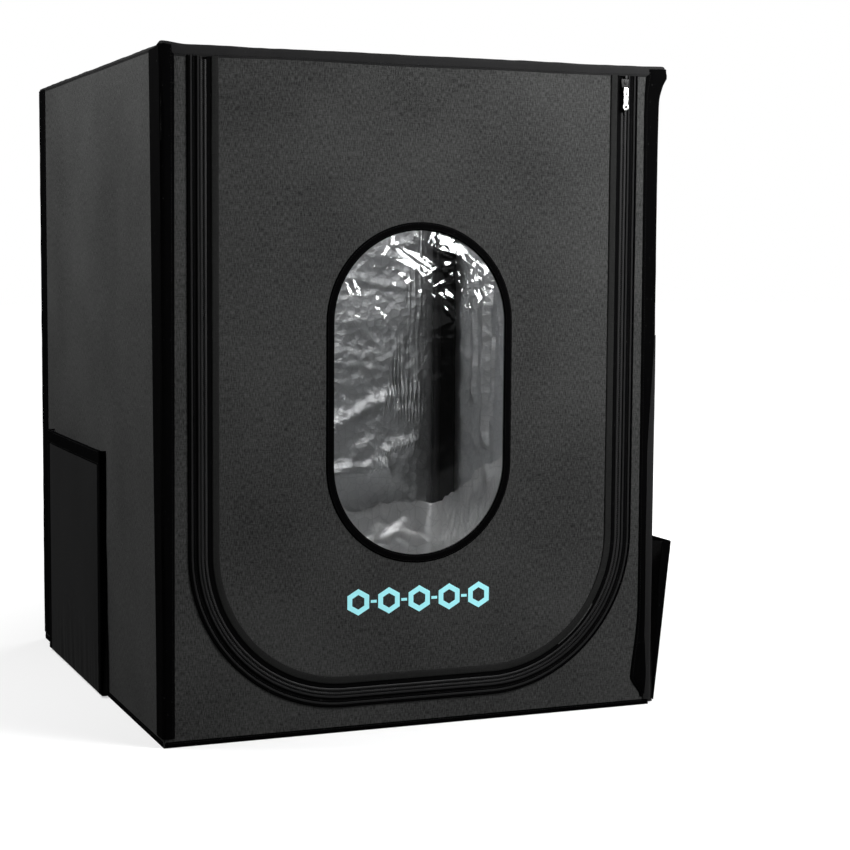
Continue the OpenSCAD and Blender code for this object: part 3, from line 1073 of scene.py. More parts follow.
@dataclass(frozen=True)
class Room:
    """The six walls of a box of sheet, each from a corner, along its width and up its height."""

    low: Triple
    high: Triple

    def wall(self, name: str) -> tuple[Array, Array, Array]:
        """One wall, seen from outside.

        Args:
            name: left, right, back, top or floor.

        Returns:
            Its lower left corner, its width and its height as vectors.
        """
        (x0, y0, z0), (x1, y1, z1) = self.low, self.high
        w, d, h = x1 - x0, y1 - y0, z1 - z0
        return {
            "left": (np.array((x0, y1, z0)), -Y * d, Z * h),
            "right": (np.array((x1, y0, z0)), Y * d, Z * h),
            "back": (np.array((x1, y1, z0)), -X * w, Z * h),
            "top": (np.array((x0, y0, z1)), X * w, Y * d),
            "floor": (np.array((x0, y1, z0)), X * w, -Y * d),
        }[name]

    def surface(self, name: str, out: Callable[[Array, Array, Array], Array]) -> Surface:
        """A wall as a sheet.

        Args:
            name: The wall's name.
            out: How far it stands out, from its u, v and flat points.

        Returns:
            The sheet's shape.
        """
        corner, width, height = self.wall(name)
        normal = np.cross(width, height)
        normal /= np.linalg.norm(normal)

        def place(u: Array, v: Array) -> Array:
            """Points of the wall."""
            flat = corner + u[:, None] * width + v[:, None] * height
            return flat + normal * out(u, v, flat)[:, None]

        size = (np.linalg.norm(width), np.linalg.norm(height))
        return Surface(place, size)


def pinned(u: Array, v: Array, size: Pair, reach: float,
           still: float = 0.0) -> Array:
    """A sheet's looseness: 0 in the still rim under a tape and 1 a reach further in."""
    edge = np.minimum.reduce([u * size[0], (1 - u) * size[0], v * size[1], (1 - v) * size[1]])
    return ease((edge - still) / reach)


def ring_surface(inner: Outline, outer: Outline, y: float, way: int, steps: int,
                 out: Callable[[Array], Array]) -> tuple[Surface, int]:
    """An upright sheet with an opening, from the opening's edge to its own.

    Args:
        inner: The opening.
        outer: The sheet's own outline.
        y: Where the sheet stands.
        way: 1 where it faces front, -1 where it faces back.
        steps: Roughly how many rays it has.
        out: How far it stands out at each flat point.

    Returns:
        The sheet's shape and its number of steps round the opening.
    """
    eye = inner.centre()
    turn = way * np.array(inner.corners_from(eye) + outer.corners_from(eye)) % (2 * math.pi)
    even = np.linspace(0, 2 * math.pi, steps + 1)
    angles = np.unique(np.round(np.concatenate([even, turn]), 9))
    count = len(angles) - 1

    def place(u: Array, v: Array) -> Array:
        """Points of the sheet."""
        angle = way * np.interp(u, np.linspace(0, 1, count + 1), angles)
        near, far = inner.seen_from(eye, angle), outer.seen_from(eye, angle)
        at = near + (far - near) * v[:, None]
        flat = stack(at[:, 0], y, at[:, 1])
        flat[:, 1] -= way * out(flat)
        return flat

    area_side = math.sqrt(outer.area())
    return Surface(place, (area_side, area_side), (0, 2)), count


@dataclass
class Cover:
    """The outer fabric: front surround, sides, back, top and floor."""

    thickness: float = 1.4 * MM

    def __post_init__(self) -> None:
        """Reads the cover's sizes from the frame."""
        low, high = low_of("front_panel"), high_of("back_panel")
        self.left, self.front = low[0], low[1]
        self.right, self.back, self.top = high
        self.room = Room((self.left, self.front, 0.0), (self.right, self.back, self.top))
        self.width, self.depth, self.height = (
            self.right - self.left, self.back - self.front, self.top)

    def front_outline(self) -> Outline:
        """The front panel's outer edge."""
        return Outline(0.0, self.right, 0.0, self.top)

    def opening(self) -> Outline:
        """The opening that the door closes."""
        centre = (high_of("cover_zip_coil")[0] + high_of("door_zip_tape")[0]) / 2
        edge = 2 * centre - high_of("door_panel")[0]
        bend = flat_run("cover_zip_tape")
        low = low_of("cover_zip_tape")[2] + (high_of("cover_zip_tape")[0] - edge)
        return Outline(0.0, edge, low, low_of("top_binding")[2], 0.0, edge - bend)

    def front_out(self, flat: Array) -> Array:
        """How far the front surround stands out.

        Args:
            flat: The flat points.

        Returns:
            The distance at each point.
        """
        edge = np.minimum(self.right - np.abs(flat[:, 0]), flat[:, 2])
        top = ease((self.top - flat[:, 2]) / 0.03)
        soft = 0.7 * billow(flat, 0.06, 3) + 0.4 * billow(flat, 0.02, 4)
        pulled = (Fold((0.355, 0.892), (0.326, 0.858), 0.006, 2.6 * MM),
                  Fold((0.352, 0.884), (0.323, 0.846), 0.005, 2.2 * MM),
                  Fold((-0.338, 0.884), (-0.331, 0.850), 0.005, 1.6 * MM))
        at = flat[:, [0, 2]]
        folds = sum(fold.height(at) for fold in pulled)
        return MM * (0.5 + soft) * ease((edge - 0.034) / 0.03) * top * 0.9 + folds

    def side_out(self, seed: int) -> Callable[[Array, Array, Array], Array]:
        """How far a side panel stands out.

        Args:
            seed: Picks its folds.

        Returns:
            The side's field.
        """
        def out(u: Array, v: Array, flat: Array) -> Array:
            """Broad billows, slack folds and fine ripples, still at the edges."""
            mask = pinned(u, v, (self.depth, self.height), 0.09, 0.045)
            soft = puckers(flat, (2.2, 0.34), (0.9, (0.2, 0.1, 0.3)), (0.25, 0.035), seed=seed)
            plan = stack(u * self.depth, v * self.height)
            folds = 0.8 * creases(plan, 9, 0.014, 0.14, seed)
            return MM * (1.2 + soft + folds) * mask
        return out

    def build(self) -> None:
        """Builds and dresses the cover's panels."""
        inner, outer = self.opening(), self.front_outline()
        surface, count = ring_surface(inner, outer, self.front, 1, 300, self.front_out)
        front = settle(surface.sheet("front_panel_cloth", (count, 12), self.thickness, closed=True),
                       OUTER, "cover", "outer_fabric", "front_panel")
        band = outer.area() - inner.area()
        for name, seed in (("left", 11), ("right", 12)):
            surface = self.room.surface(name, self.side_out(seed))
            side = settle(surface.sheet(f"{name}_panel_cloth", (110, 130), self.thickness),
                          OUTER, "cover", "outer_fabric", f"{name}_panel")
        self.build_back()
        self.build_level("top", -5.0)
        self.build_level("floor", 0.0)

    def build_back(self) -> None:
        """Builds the back panel with its cable port."""
        hole = RearPort.hole()
        outer = self.front_outline()

        def out(flat: Array) -> Array:
            """Broad billows, still at the edges and round the port."""
            u = (flat[:, 0] - self.left) / self.width
            mask = pinned(u, flat[:, 2] / self.height, (self.width, self.height), 0.06)
            mask = mask * ease((hole.away(flat) - 0.12) / 0.08)
            broad = 2.2 * billow(flat, 0.3, 21) + 0.5 * billow(flat, 0.06, 22)
            return MM * (1.2 + broad) * mask

        surface, count = ring_surface(hole, outer, self.back, -1, 180, out)
        back = settle(surface.sheet("back_panel_cloth", (count, 70), self.thickness, closed=True),
                      OUTER, "cover", "outer_fabric", "back_panel")

    def build_level(self, name: str, sag: float) -> None:
        """Builds the top or the floor panel.

        Args:
            name: top or floor.
            sag: How far its middle stands out, in millimetres.
        """
        def out(u: Array, v: Array, flat: Array) -> Array:
            """A sag with soft billows, still at the edges."""
            mask = pinned(u, v, (self.width, self.depth), 0.12)
            if not sag:
                return 0 * mask
            return MM * (sag + 1.6 * billow(flat, 0.2, 31)) * mask

        surface = self.room.surface(name, out)
        level = settle(surface.sheet(f"{name}_panel_cloth", (80, 80), self.thickness),
                       OUTER, "cover", "outer_fabric", f"{name}_panel")


class Corner(Enum):
    """The four upright corners, as the signs of x and y."""

    FRONT_LEFT = (-1, -1)
    FRONT_RIGHT = (1, -1)
    BACK_LEFT = (-1, 1)
    BACK_RIGHT = (1, 1)


@dataclass
class Lining:
    """The silver foil lining inside every wall of the cover."""

    cover: Cover
    thickness: float = 0.3 * MM

    def __post_init__(self) -> None:
        """Reads the lining's room from the frame."""
        low, high = low_of("front_lining"), high_of("back_lining")
        self.room = Room(tuple(low), tuple(high))
        self.low, self.high = low, high
        self.outer = Outline(0.0, high[0], low[2], high[2])
        self.folds = {
            "right": (Fold((0.165, 0.64), (0.175, 0.33), 0.030, 13 * MM),
                      Fold((0.150, 0.50), (0.152, 0.36), 0.010, 6 * MM),
                      Fold((0.218, 0.60), (0.222, 0.40), 0.022, 8 * MM),
                      Fold((0.118, 0.62), (0.125, 0.40), 0.010, 5 * MM),
                      Fold((0.085, 0.58), (0.080, 0.38), 0.008, 4 * MM)),
            "back": (Fold((0.105, 0.318), (0.262, 0.385), 0.024, 8.5 * MM),
                     Fold((0.250, 0.385), (0.310, 0.402), 0.012, 4 * MM),
                     Fold((0.110, 0.252), (0.250, 0.266), 0.020, 7 * MM),
                     Fold((0.230, 0.283), (0.305, 0.312), 0.014, 5 * MM),
                     Fold((0.100, 0.455), (0.270, 0.430), 0.010, 2.5 * MM),
                     Fold((0.120, 0.600), (0.300, 0.575), 0.014, 3 * MM)),
        }

    def crumple(self, name: str, size: Pair, seed: int, depth: float,
                sag: float = 0.0) -> Surface:
        """One wall of crumpled foil.

        Args:
            name: The wall's name.
            size: Its width and height.
            seed: Picks its creases.
            depth: How far the creases stand into the room.
            sag: How far the middle of the wall stands out.

        Returns:
            The sheet's shape.
        """
        def out(u: Array, v: Array, flat: Array) -> Array:
            """Creases into the room, still near the tubes."""
            plan = stack(u * size[0], v * size[1])
            mask = pinned(u, v, size, 0.05)
            far = pinned(u, v, size, 0.12)
            folds = creases(plan, 150, 0.03, 0.12, seed) * 0.28
            sharp = creases(plan, 500, 0.006, 0.035, seed + 100) * 0.22
            soft = 0.5 + 0.5 * billow(flat, 0.12, seed)
            large = sum(fold.height(flat[:, 1:]) for fold in self.folds.get(name, ()))
            return -depth * MM * (folds + sharp + soft * 0.6) * mask + sag * MM * far - large
        return self.room.surface(name, out)

    def build(self) -> None:
        """Builds and dresses the linings."""
        w, d, h = self.high - self.low
        walls = (("left", (d, h), 41, 5.0, 0.0), ("right", (d, h), 42, 5.0, 0.0),
                 ("top", (w, d), 43, 3.0, -8.0), ("floor", (w, d), 44, 4.0, 0.0))
        for name, size, seed, depth, sag in walls:
            surface = self.crumple(name, size, seed, depth, sag)
            steps = (240, 140) if name == "right" else (100, 110)
            sheet = surface.sheet(f"{name}_lining_foil", steps, self.thickness)
            settle(sheet, FOIL, "cover", "foil_lining", f"{name}_lining")
        self.build_back()
        self.build_front()
        self.build_upturn()
        self.build_shade_strips()

    def build_upturn(self) -> None:
        """Builds the floor lining's crumpled upturn, which stands in front of the low rails, in a
        lighter copy of the foil that is painted light.
        """
        inset = 38 * MM
        x, y = self.high[0] - inset, self.high[1] - inset
        plan = Outline(0.0, x, -y, y, 18 * MM, 18 * MM)

        def height(at: Array) -> Array:
            """The loose edge's height: highest along the right wall and low at the front."""
            toward = np.clip((0.34 - at[:, 1]) / 0.3, 0, 1) * ease(at[:, 0] / 0.05)
            ahead = ease((-at[:, 1] - 0.02) / 0.26)
            return (0.205 + 0.12 * toward) * (1 - ahead) + 0.03 * ahead

        def place(u: Array, v: Array) -> Array:
            """Points of the upturn, from the floor to its loose edge."""
            at, out = plan.along(u)
            flat = stack(*at.T, 0)
            ahead = ease((-at[:, 1] - 0.02) / 0.26)
            top = height(at)
            top += (0.018 * billow(flat, 0.07, 171) + 0.010 * billow(flat, 0.02, 172)) * (1 - ahead)
            z = 14 * MM + (top - 14 * MM) * v
            spot = stack(u * 2.7, z, 0)
            rough = creases(spot[:, :2], 520, 0.008, 0.035, 173)
            deep = 12 * billow(spot, 0.08, 174) + 9 * billow(spot, 0.035, 175) + 5 * rough
            loose = (10 * v * (1 - ahead) + deep * ease(v / 0.25)) / 13
            push = MM * (2 + 12 * np.tanh(loose))
            return stack(*(at + out * push[:, None]).T, z)

        round_it, _ = plan.along(np.linspace(0, 1, 400))
        surface = Surface(place, (plan.round_it(), height(round_it).mean() * 1.05))
        sheet = surface.sheet("floor_lining_upturn", (560, 40), self.thickness, closed=True)
        settle(sheet, PAINTED_LIT_FOIL, "cover", "foil_lining")

    def build_shade_strips(self) -> None:
        """Builds black strips on the side linings beside the upright tubes: painted shade, black cloth
        standing in for the tubes' shadow and dark reflection in the foil.
        """
        wide = 84 * MM
        for corner in Corner:
            sx, sy = corner.value
            foot = 0.20 if sy > 0 else 0.02
            face = sx * (self.high[0] - 9 * MM)
            edge = sy * (self.high[1] - 3 * MM)

            def place(u: Array, v: Array, sx: int = sx, sy: int = sy, foot: float = foot,
                      face: float = face, edge: float = edge) -> Array:
                """Points of a strip, u up it and v along the side."""
                z = foot - 0.03 * v * (sy > 0) + (self.high[2] - 6 * MM - foot) * u
                v = v if sx * sy > 0 else 1 - v
                y = edge - sy * wide * v
                line = stack(z, y, 0)
                soft = 1.4 * billow(line, (0.12, 0.03, 1), 181) + 0.8 * billow(line, 0.03, 182)
                return stack(face - sx * MM * (1.5 + soft), y, z)

            surface = Surface(place, (self.high[2] - foot, wide))
            shade_strip = surface.sheet(f"pole_guard_{corner.name.lower()}", (150, 22), 0.8 * MM,
                                  Skin.MIDDLE)
            settle(shade_strip, BINDING, "cover", "edge_binding")

    def build_back(self) -> None:
        """Builds the back lining with its cable port."""
        hole = RearPort.hole()

        def out(flat: Array) -> Array:
            """Creases into the room, still near the tubes and round the port."""
            edge = self.outer.inset(flat)
            mask = ease(edge / 0.05) * ease((hole.away(flat) - 0.08) / 0.1)
            plan = flat[:, [0, 2]]
            folds = 0.3 * creases(plan, 160, 0.03, 0.14, 45)
            sharp = 0.2 * creases(plan, 500, 0.006, 0.035, 145)
            soft = 0.5 + 0.5 * billow(flat, 0.12, 46)
            large = sum(fold.height(plan) for fold in self.folds["back"])
            return -6 * MM * (folds + sharp + soft * 0.7) * mask - large * ease(edge / 0.03)

        surface, count = ring_surface(hole, self.outer, self.high[1], -1, 300, out)
        sheet = surface.sheet("back_lining_foil", (count, 152), self.thickness, closed=True)
        settle(sheet, FOIL, "cover", "foil_lining", "back_lining")
        self.outer.size()

    def build_front(self) -> None:
        """Builds the lining of the front surround."""
        inner = self.cover.opening()
        outer = self.outer

        def out(flat: Array) -> Array:
            """Shallow ripples into the room."""
            return -0.4 * MM * (0.5 + 0.5 * billow(flat, 0.03, 47))

        surface, count = ring_surface(inner, outer, self.low[1], 1, 240, out)
        sheet = surface.sheet("front_lining_foil", (count, 8), self.thickness, closed=True)
        settle(sheet, FOIL, "cover", "foil_lining", "front_lining")
        band = outer.area() - inner.area()


@dataclass
class Bindings:
    """Black tape folded over the corners, the top edge and the bottom edge."""

    cover: Cover
    thickness: float = 1.0 * MM
    fold: float = 2.2 * MM
    front_tape: float = 64 * MM

    def ear(self, points: Array) -> Array:
        """Pulls the tapes out into the small ears at the two front top corners.

        Args:
            points: Points of a tape.

        Returns:
            The moved points.
        """
        right = np.array((self.cover.right, self.cover.front, self.cover.top - 8 * MM))
        left = np.array((self.cover.left + 4 * MM, self.cover.front, self.cover.top))
        far = np.linalg.norm((points - right) / (1, 1, 1.15), axis=1)
        wave = 1 + 0.35 * billow(points, 0.012, 64)
        pulled = (X * 10.5 + Z * 1.0 - Y * 1.5) * MM * (hump(far, 0.019) * wave)[:, None]
        bump = hump(np.linalg.norm(points - left, axis=1), 0.016)
        return points + pulled + (Z * 3.6 - X * 1.0) * MM * bump[:, None]

    def corner_surface(self, corner: Corner) -> Surface:
        """The tape up one corner.

        Args:
            corner: Which corner.

        Returns:
            The tape's shape, u upwards.
        """
        sx, sy = corner.value
        node = f"corner_binding_{corner.name.lower()}"
        low, high = ends_of(node)
        face, side = sy * Y, sx * X
        flip = np.dot(np.cross(Z, side), face) < 0
        on_face, on_side = high[0] - low[0], high[1] - low[1]
        high[2] = self.cover.top - 3 * MM
        edge = np.array((sx * self.cover.right, sy * self.cover.back, 0.0))

        def place(u: Array, v: Array) -> Array:
            """Points of the tape, wider and slacker towards the top."""
            v = 1 - v if flip else v
            z = low[2] + (high[2] - low[2]) * u
            rise = u * u
            if corner is Corner.FRONT_LEFT:
                wide_face, wide_side = 14 + 3 * u, 34 + 8 * ease(u * 2) + 16 * rise
            elif corner is Corner.FRONT_RIGHT:
                curl = 18 * ease(1 - u / 0.035)
                # Low down, the front face of this tape is 12 mm wider: painted shade, black tape
                # standing in for the shadow in a fold near the pocket.
                wide_face = 19 + 12 * ease(1 - u / 0.15) + 3 * rise - curl
                wide_side = 40
            else:
                wide_face, wide_side = 1000 * on_face, 1000 * on_side
            s = MM * (-wide_face + (wide_face + wide_side) * v)
            line = stack(s, z, 0)
            pucker = 0.35 * billow(line, (0.02, 0.03, 1), 51 + sx) + 0.5 * billow(
                line, (0.05, 0.16, 1), 53 + sy)
            ends = np.clip(np.minimum(v, 1 - v) * 8, 0, 1)
            lift = MM * (0.7 + (1.1 + pucker) * ends)
            if corner is Corner.FRONT_RIGHT:
                lift = lift + MM * 1.5 * hump(z - 0.05, 0.05) * ends * hump(s + 0.012, 0.012)
            at = edge + z[:, None] * Z
            points = fold_over(at, face, side, s, self.fold, lift)
            return self.ear(points) if sy < 0 else points

        return Surface(place, (high[2] - low[2], on_face + on_side))

    def build(self) -> None:
        """Builds, dresses and sews the bindings."""
        for corner in Corner:
            name = corner.name.lower()
            surface = self.corner_surface(corner)
            tape = surface.sheet(f"corner_tape_{name}", (200, 24), self.thickness, Skin.INWARD)
            settle(tape, BINDING, "cover", "edge_binding", f"corner_binding_{name}")
            sew(f"corner_stitches_{name}", surface, (0.06, 0.94), "cover")
        self.build_facing()
        self.build_edge("top_binding", "top_edge_tape")
        self.build_edge("bottom_binding", "bottom_edge_tape")

    def build_facing(self) -> None:
        """Builds the folded edge of the right panel, laid over the front right tape low down."""
        cover = self.cover
        tall = 0.52

        def place(u: Array, v: Array) -> Array:
            """Points of the folded edge, narrowing to nothing at its top."""
            z = 8 * MM + tall * u
            wide = MM * (7.5 + 1.2 * billow(stack(z, 0, 0), 0.09, 66)) * ease((1 - u) / 0.35)
            wide += 1.0 * MM
            s = -wide + (wide + 5 * MM) * v
            edge = np.array((cover.right, cover.front, 0.0)) + z[:, None] * Z
            lift = MM * (2.2 + 0.9 * np.sin(math.pi * np.clip(v, 0, 1)))
            return fold_over(edge, -Y, X, s, self.fold, lift)

        surface = Surface(place, (tall, 12 * MM))
        strip = surface.sheet("front_right_folded_edge", (150, 12), 0.8 * MM, Skin.OUTWARD)
        settle(strip, WELT, "cover", "outer_fabric")

    def build_edge(self, node: str, name: str) -> None:
        """Builds the tape round the top or the bottom edge.

        Args:
            node: The frame node it stands for.
            name: The piece's name.
        """
        low, high = ends_of(node)
        plan = Outline(0.0, self.cover.right, self.cover.front, self.cover.back, 4 * MM, 4 * MM)
        upper = node.startswith("top")
        down = self.cover.top - low[2]

        def place(u: Array, v: Array) -> Array:
            """Points of the tape, from its upper or inner edge down."""
            at, out = plan.along(u)
            edge = stack(*at.T, self.cover.top)
            out = stack(*out.T, 0)
            round_it = stack(u * 2.96, v * 0.02, 0)
            pucker = puckers(round_it, (0.5, (0.02, 0.02, 1)), (0.5, (0.09, 0.05, 1)), seed=61)
            if upper:
                ahead = ease(-out[:, 1] * 2 - 0.5)
                fall = down * (0.42 + 0.68 * ahead) * (1 + 0.12 * billow(round_it, (0.16, 1, 1), 63))
                s = fall - (fall + down) * (1 - v)
                lift = MM * (0.4 + (0.7 + pucker) * np.clip(8 * np.minimum(v, 1 - v), 0, 1))
                return self.ear(fold_over(edge, Z, out, s, 2.5 * MM, lift))
            edge[:, 2] = high[2] - 4 * MM + (low[2] - high[2] + 4 * MM) * v
            lift = MM * (0.3 + (1.0 + pucker * 0.6) * np.sin(math.pi * np.clip(v, 0.02, 0.98)))
            return edge + out * lift[:, None]

        length = plan.round_it()
        wide = 1.7 * down if upper else 10.5 * MM
        surface = Surface(place, (length, wide))
        tape = surface.sheet(name, (620, 14 if upper else 8), self.thickness, closed=True)
        settle(tape, WELT if upper else BINDING, "cover", "edge_binding", node)
        rows = (0.1, 0.9) if upper else (0.3,)
        sew(f"{name}_stitches", surface, rows, "cover")


# ---------- the zip ----------


@dataclass
class Zip:
    """The zip: two tapes, two coils, the slider and its pull tab."""

    cover: Cover

    def __post_init__(self) -> None:
        """Reads the zip's sizes from the frame."""
        (_, _, self.low), (self.half, _, top) = ends_of("cover_zip_tape")
        self.full = (top, top)
        self.straight = flat_run("cover_zip_tape")
        self.tape, self.door_coil, self.door_tape = (
            self.half - high_of(node)[0]
            for node in ("cover_zip_coil", "door_zip_coil", "door_zip_tape"))
        self.coil = self.door_tape - self.door_coil
        self.centre = (self.tape + self.coil + self.door_coil) / 2
        self.line = ZipLine(self.half - self.centre, self.half - self.centre - self.straight,
                            self.low + self.centre)
        self.front = self.cover.front
        self.park = high_of("door_zip_tape")[2]

    def band(self, first: float, last: float, tops: Pair,
             lift: Callable[[Array, Array], Array], clear: float = 0.0) -> Surface:
        """A strip of the zip between two insets from its outer edge.

        Args:
            first: The strip's outer edge.
            last: Its inner edge.
            tops: The heights where it starts and ends.
            lift: Height over the front panel, in millimetres, from u and the inset.
            clear: How far its outer edge draws in beside the parked slider.

        Returns:
            The strip's shape, u along the zip.
        """
        def place(u: Array, v: Array) -> Array:
            """Points of the strip."""
            at, inward = self.line.at(u, tops)
            beside = clear * ease((at[:, 1] - self.park) / (12 * MM)) * (at[:, 0] > 0)
            inset = first + beside + (last - first - beside) * v
            at = at + inward * (inset - self.centre)[:, None]
            return stack(at[:, 0], self.front - MM * lift(u, inset), at[:, 1])

        return Surface(place, (self.line.length(tops), last - first))

    def ripple(self, u: Array, inset: Array, seed: int) -> Array:
        """Small puckers along a sewn tape, in millimetres."""
        line = stack(u * 2.1, inset, 0)
        return puckers(line, (0.22, (0.012, 0.01, 1)), (0.35, (0.06, 0.03, 1)), seed=seed)

    def tape_lift(self, u: Array, inset: Array) -> Array:
        """A tape's height: nearly flat, with small puckers."""
        return 0.75 + 0.5 * self.ripple(u, inset, 71)

    def welt(self, first: float, last: float, high: float, seed: int) -> Callable:
        """The height of a folded, sewn strip.

        Args:
            first: The inset of its outer edge.
            last: The inset of its inner edge.
            high: Its height, in millimetres.
            seed: Picks its puckers.

        Returns:
            The height over the front panel, from u and the inset.
        """
        def lift(u: Array, inset: Array) -> Array:
            """A rounded strip that dips at its edges."""
            share = np.clip((inset - first) / (last - first), 0, 1)
            return 0.8 + (high + self.ripple(u, inset, seed)) * crown(share) ** 0.6
        return lift

    def build(self) -> None:
        """Builds and dresses the zip."""
        coil_top = high_of("cover_zip_coil")[2]
        inner = self.door_tape + self.tape
        full = self.full
        cover_tape = self.band(0, self.tape, full, self.tape_lift)
        door_tape = self.band(self.door_tape, inner, full, self.tape_lift, 2.2 * MM)
        sewn = {"cover": [], "door": []}
        backing = self.band(self.tape + 0.5 * MM, self.door_tape + 3 * MM, full,
                            lambda u, inset: -1.2 + 0 * u)
        tape = settle(backing.sheet("zip_backing_tape", (460, 6), 0.5 * MM), ZIP_TAPE, "door",
                      "zip_tape")
        door_band = (inner - 10.2 * MM, inner)
        strips = (("zip_piping", (-0.6 * MM, 2.2 * MM), 1.3, BINDING, "cover", 12),
                  ("zip_outer_welt", (2.8 * MM, 6.0 * MM), 1.1, WELT, "cover", 14),
                  ("zip_inner_welt", (11.8 * MM, 15.2 * MM), 1.6, WELT, "cover", 14),
                  ("door_zip_welt", door_band, 1.3, BAND, "door", 20))
        for name, (first, last), high, finish, body, across in strips:
            shape = self.band(first, last, full, self.welt(first, last, high, len(name)))
            strip = shape.sheet(name, (560, across), 0.6 * MM)
            sewn[body].append(settle(strip, finish, body, "zip_tape"))
        for shape, body in ((cover_tape, "cover"), (door_tape, "door")):
            tape = shape.sheet(f"{body}_zip_tape_cloth", (460, 10), 0.6 * MM)
            settle(tape, ZIP_TAPE, body, "zip_tape", f"{body}_zip_tape")
        band = self.band(*door_band, full, self.welt(*door_band, 1.1, len("door_zip_welt")))
        sew("door_zip_stitches", band, (0.14, 0.5, 0.9), "door")
        sew("cover_zip_stitches", cover_tape, (0.5,), "cover")
        self.build_coil("cover_zip_coil", self.tape, (coil_top, coil_top), 1, "cover")
        self.build_coil("door_zip_coil", self.door_coil, (coil_top, self.park), -1, "door")
        self.build_slider()
        self.build_tab()

    def build_coil(self, node: str, first: float, tops: Pair, way: int,
                   body: str) -> None:
        """Builds one coil: its woven core and its turns.

        Args:
            node: The frame node it stands for.
            first: The inset of its outer edge.
            tops: The heights where it starts and ends.
            way: 1 where its turns reach inwards, -1 where they reach outwards.
            body: The body it moves with.
        """
        pitch = 2.6 * MM
        reach = 0.9 * MM
        back, front = ends_of(node)[:, 1][::-1]
        middle, half = (back + front) / 2, (back - front) / 2
        inner = first + self.coil
        lift = (self.front - middle) / MM

        def core_lift(u: Array, inset: Array) -> Array:
            """A rounded core."""
            share = (inset - first) / self.coil
            return lift + 0.5 * half / MM * np.sqrt(crown(share, 2))

        core = self.band(first, inner, tops, core_lift).sheet(
            f"{node}_core", (420, 6), 0.9 * half, Skin.INWARD)
        turns = self.band(first + way * reach, inner + way * reach, tops,
                          lambda u, i: lift + 0 * u)
        master = grain(f"{node}_turn", (1.5 * MM, self.coil + 2 * reach, 1.7 * half), 6, 4)
        row = turns.rows(f"{node}_turns", master, pitch, (0.5,), shift=0.25 * way)
        bpy.data.objects.remove(master)
        settle(joined(f"{node}_chain", [core, row]), COIL, body, "zip_coil", node)

    def build_slider(self) -> None:
        """Builds the slider: two plates, the post and the loop that holds the pull tab."""
        low, high = ends_of("zip_slider")
        width, _, height = high - low
        mid_x, _, mid_z = (low + high) / 2
        plate, lug = 1.4 * MM, 4.6 * MM
        front, back = low[1] + lug + plate / 2, high[1] - plate / 2
        pin_z = high_of("pull_tab")[2] - 1.8 * MM
        parts = [block("plate", (mid_x, y, mid_z), (width, plate, height), 0.6 * MM, 0.74)
                 for y in (front, back)]
        parts.append(block("post", (mid_x, (front + back) / 2, high[2] - 2 * MM),
                           (1.4 * MM, back - front, 4 * MM), 0.3 * MM))
        for side in (-1, 1):
            parts.append(block("lug", (mid_x + side * 4.2 * MM, front - lug / 2, pin_z),
                               (1.2 * MM, lug + plate, 5 * MM), 0.45 * MM))
        parts.append(block("crown", (mid_x, front - 0.8 * MM, high[2] - 4.5 * MM),
                           (4.2 * MM, 1.6 * MM, 6 * MM), 0.7 * MM))
        settle(joined("zip_slider_body", parts), SLIDER, "slider", "slider_metal", "zip_slider")

    def build_tab(self) -> None:
        """Builds the pull tab: a neck, a round end with a hole, and its pin."""
        low, high = ends_of("pull_tab")
        mid_x, mid_y, _ = (low + high) / 2
        end_r, half = 4.6 * MM, 0.6 * MM
        pin_z, eye_z = high[2] - 1.8 * MM, low[2] + end_r
        neck = block("neck", (mid_x, mid_y, (pin_z + eye_z) / 2 + half),
                     (6.4 * MM, 2 * half, pin_z - eye_z + 2.4 * MM), 0.25 * MM)
        tools = ((rod("disc", (mid_x, mid_y - half, eye_z), (mid_x, mid_y + half, eye_z),
                      end_r, 40), "UNION"),
                 (rod("hole", (mid_x, mid_y - 4 * half, eye_z), (mid_x, mid_y + 4 * half, eye_z),
                      2.0 * MM, 28), "DIFFERENCE"),
                 (block("slot", (mid_x, mid_y, pin_z - 7 * MM), (2.4 * MM, 8 * half, 6 * MM),
                        1.0 * MM), "DIFFERENCE"))
        for tool, way in tools:
            apply_modifier(neck, "BOOLEAN", object=tool, operation=way, solver="EXACT")
            bpy.data.objects.remove(tool)
        apply_modifier(neck, "BEVEL", width=0.15 * MM, segments=2, limit_method="ANGLE")
        reach = (high[0] - low[0]) / 2
        pin = rod("pin", (mid_x - reach, mid_y, pin_z), (mid_x + reach, mid_y, pin_z), 0.8 * MM)
        tab = joined("zip_pull_tab", [neck, pin])
        smooth(tab, 30)
        settle(tab, BRIGHT, "tab", "bright_metal", "pull_tab")


# ---------- the door ----------


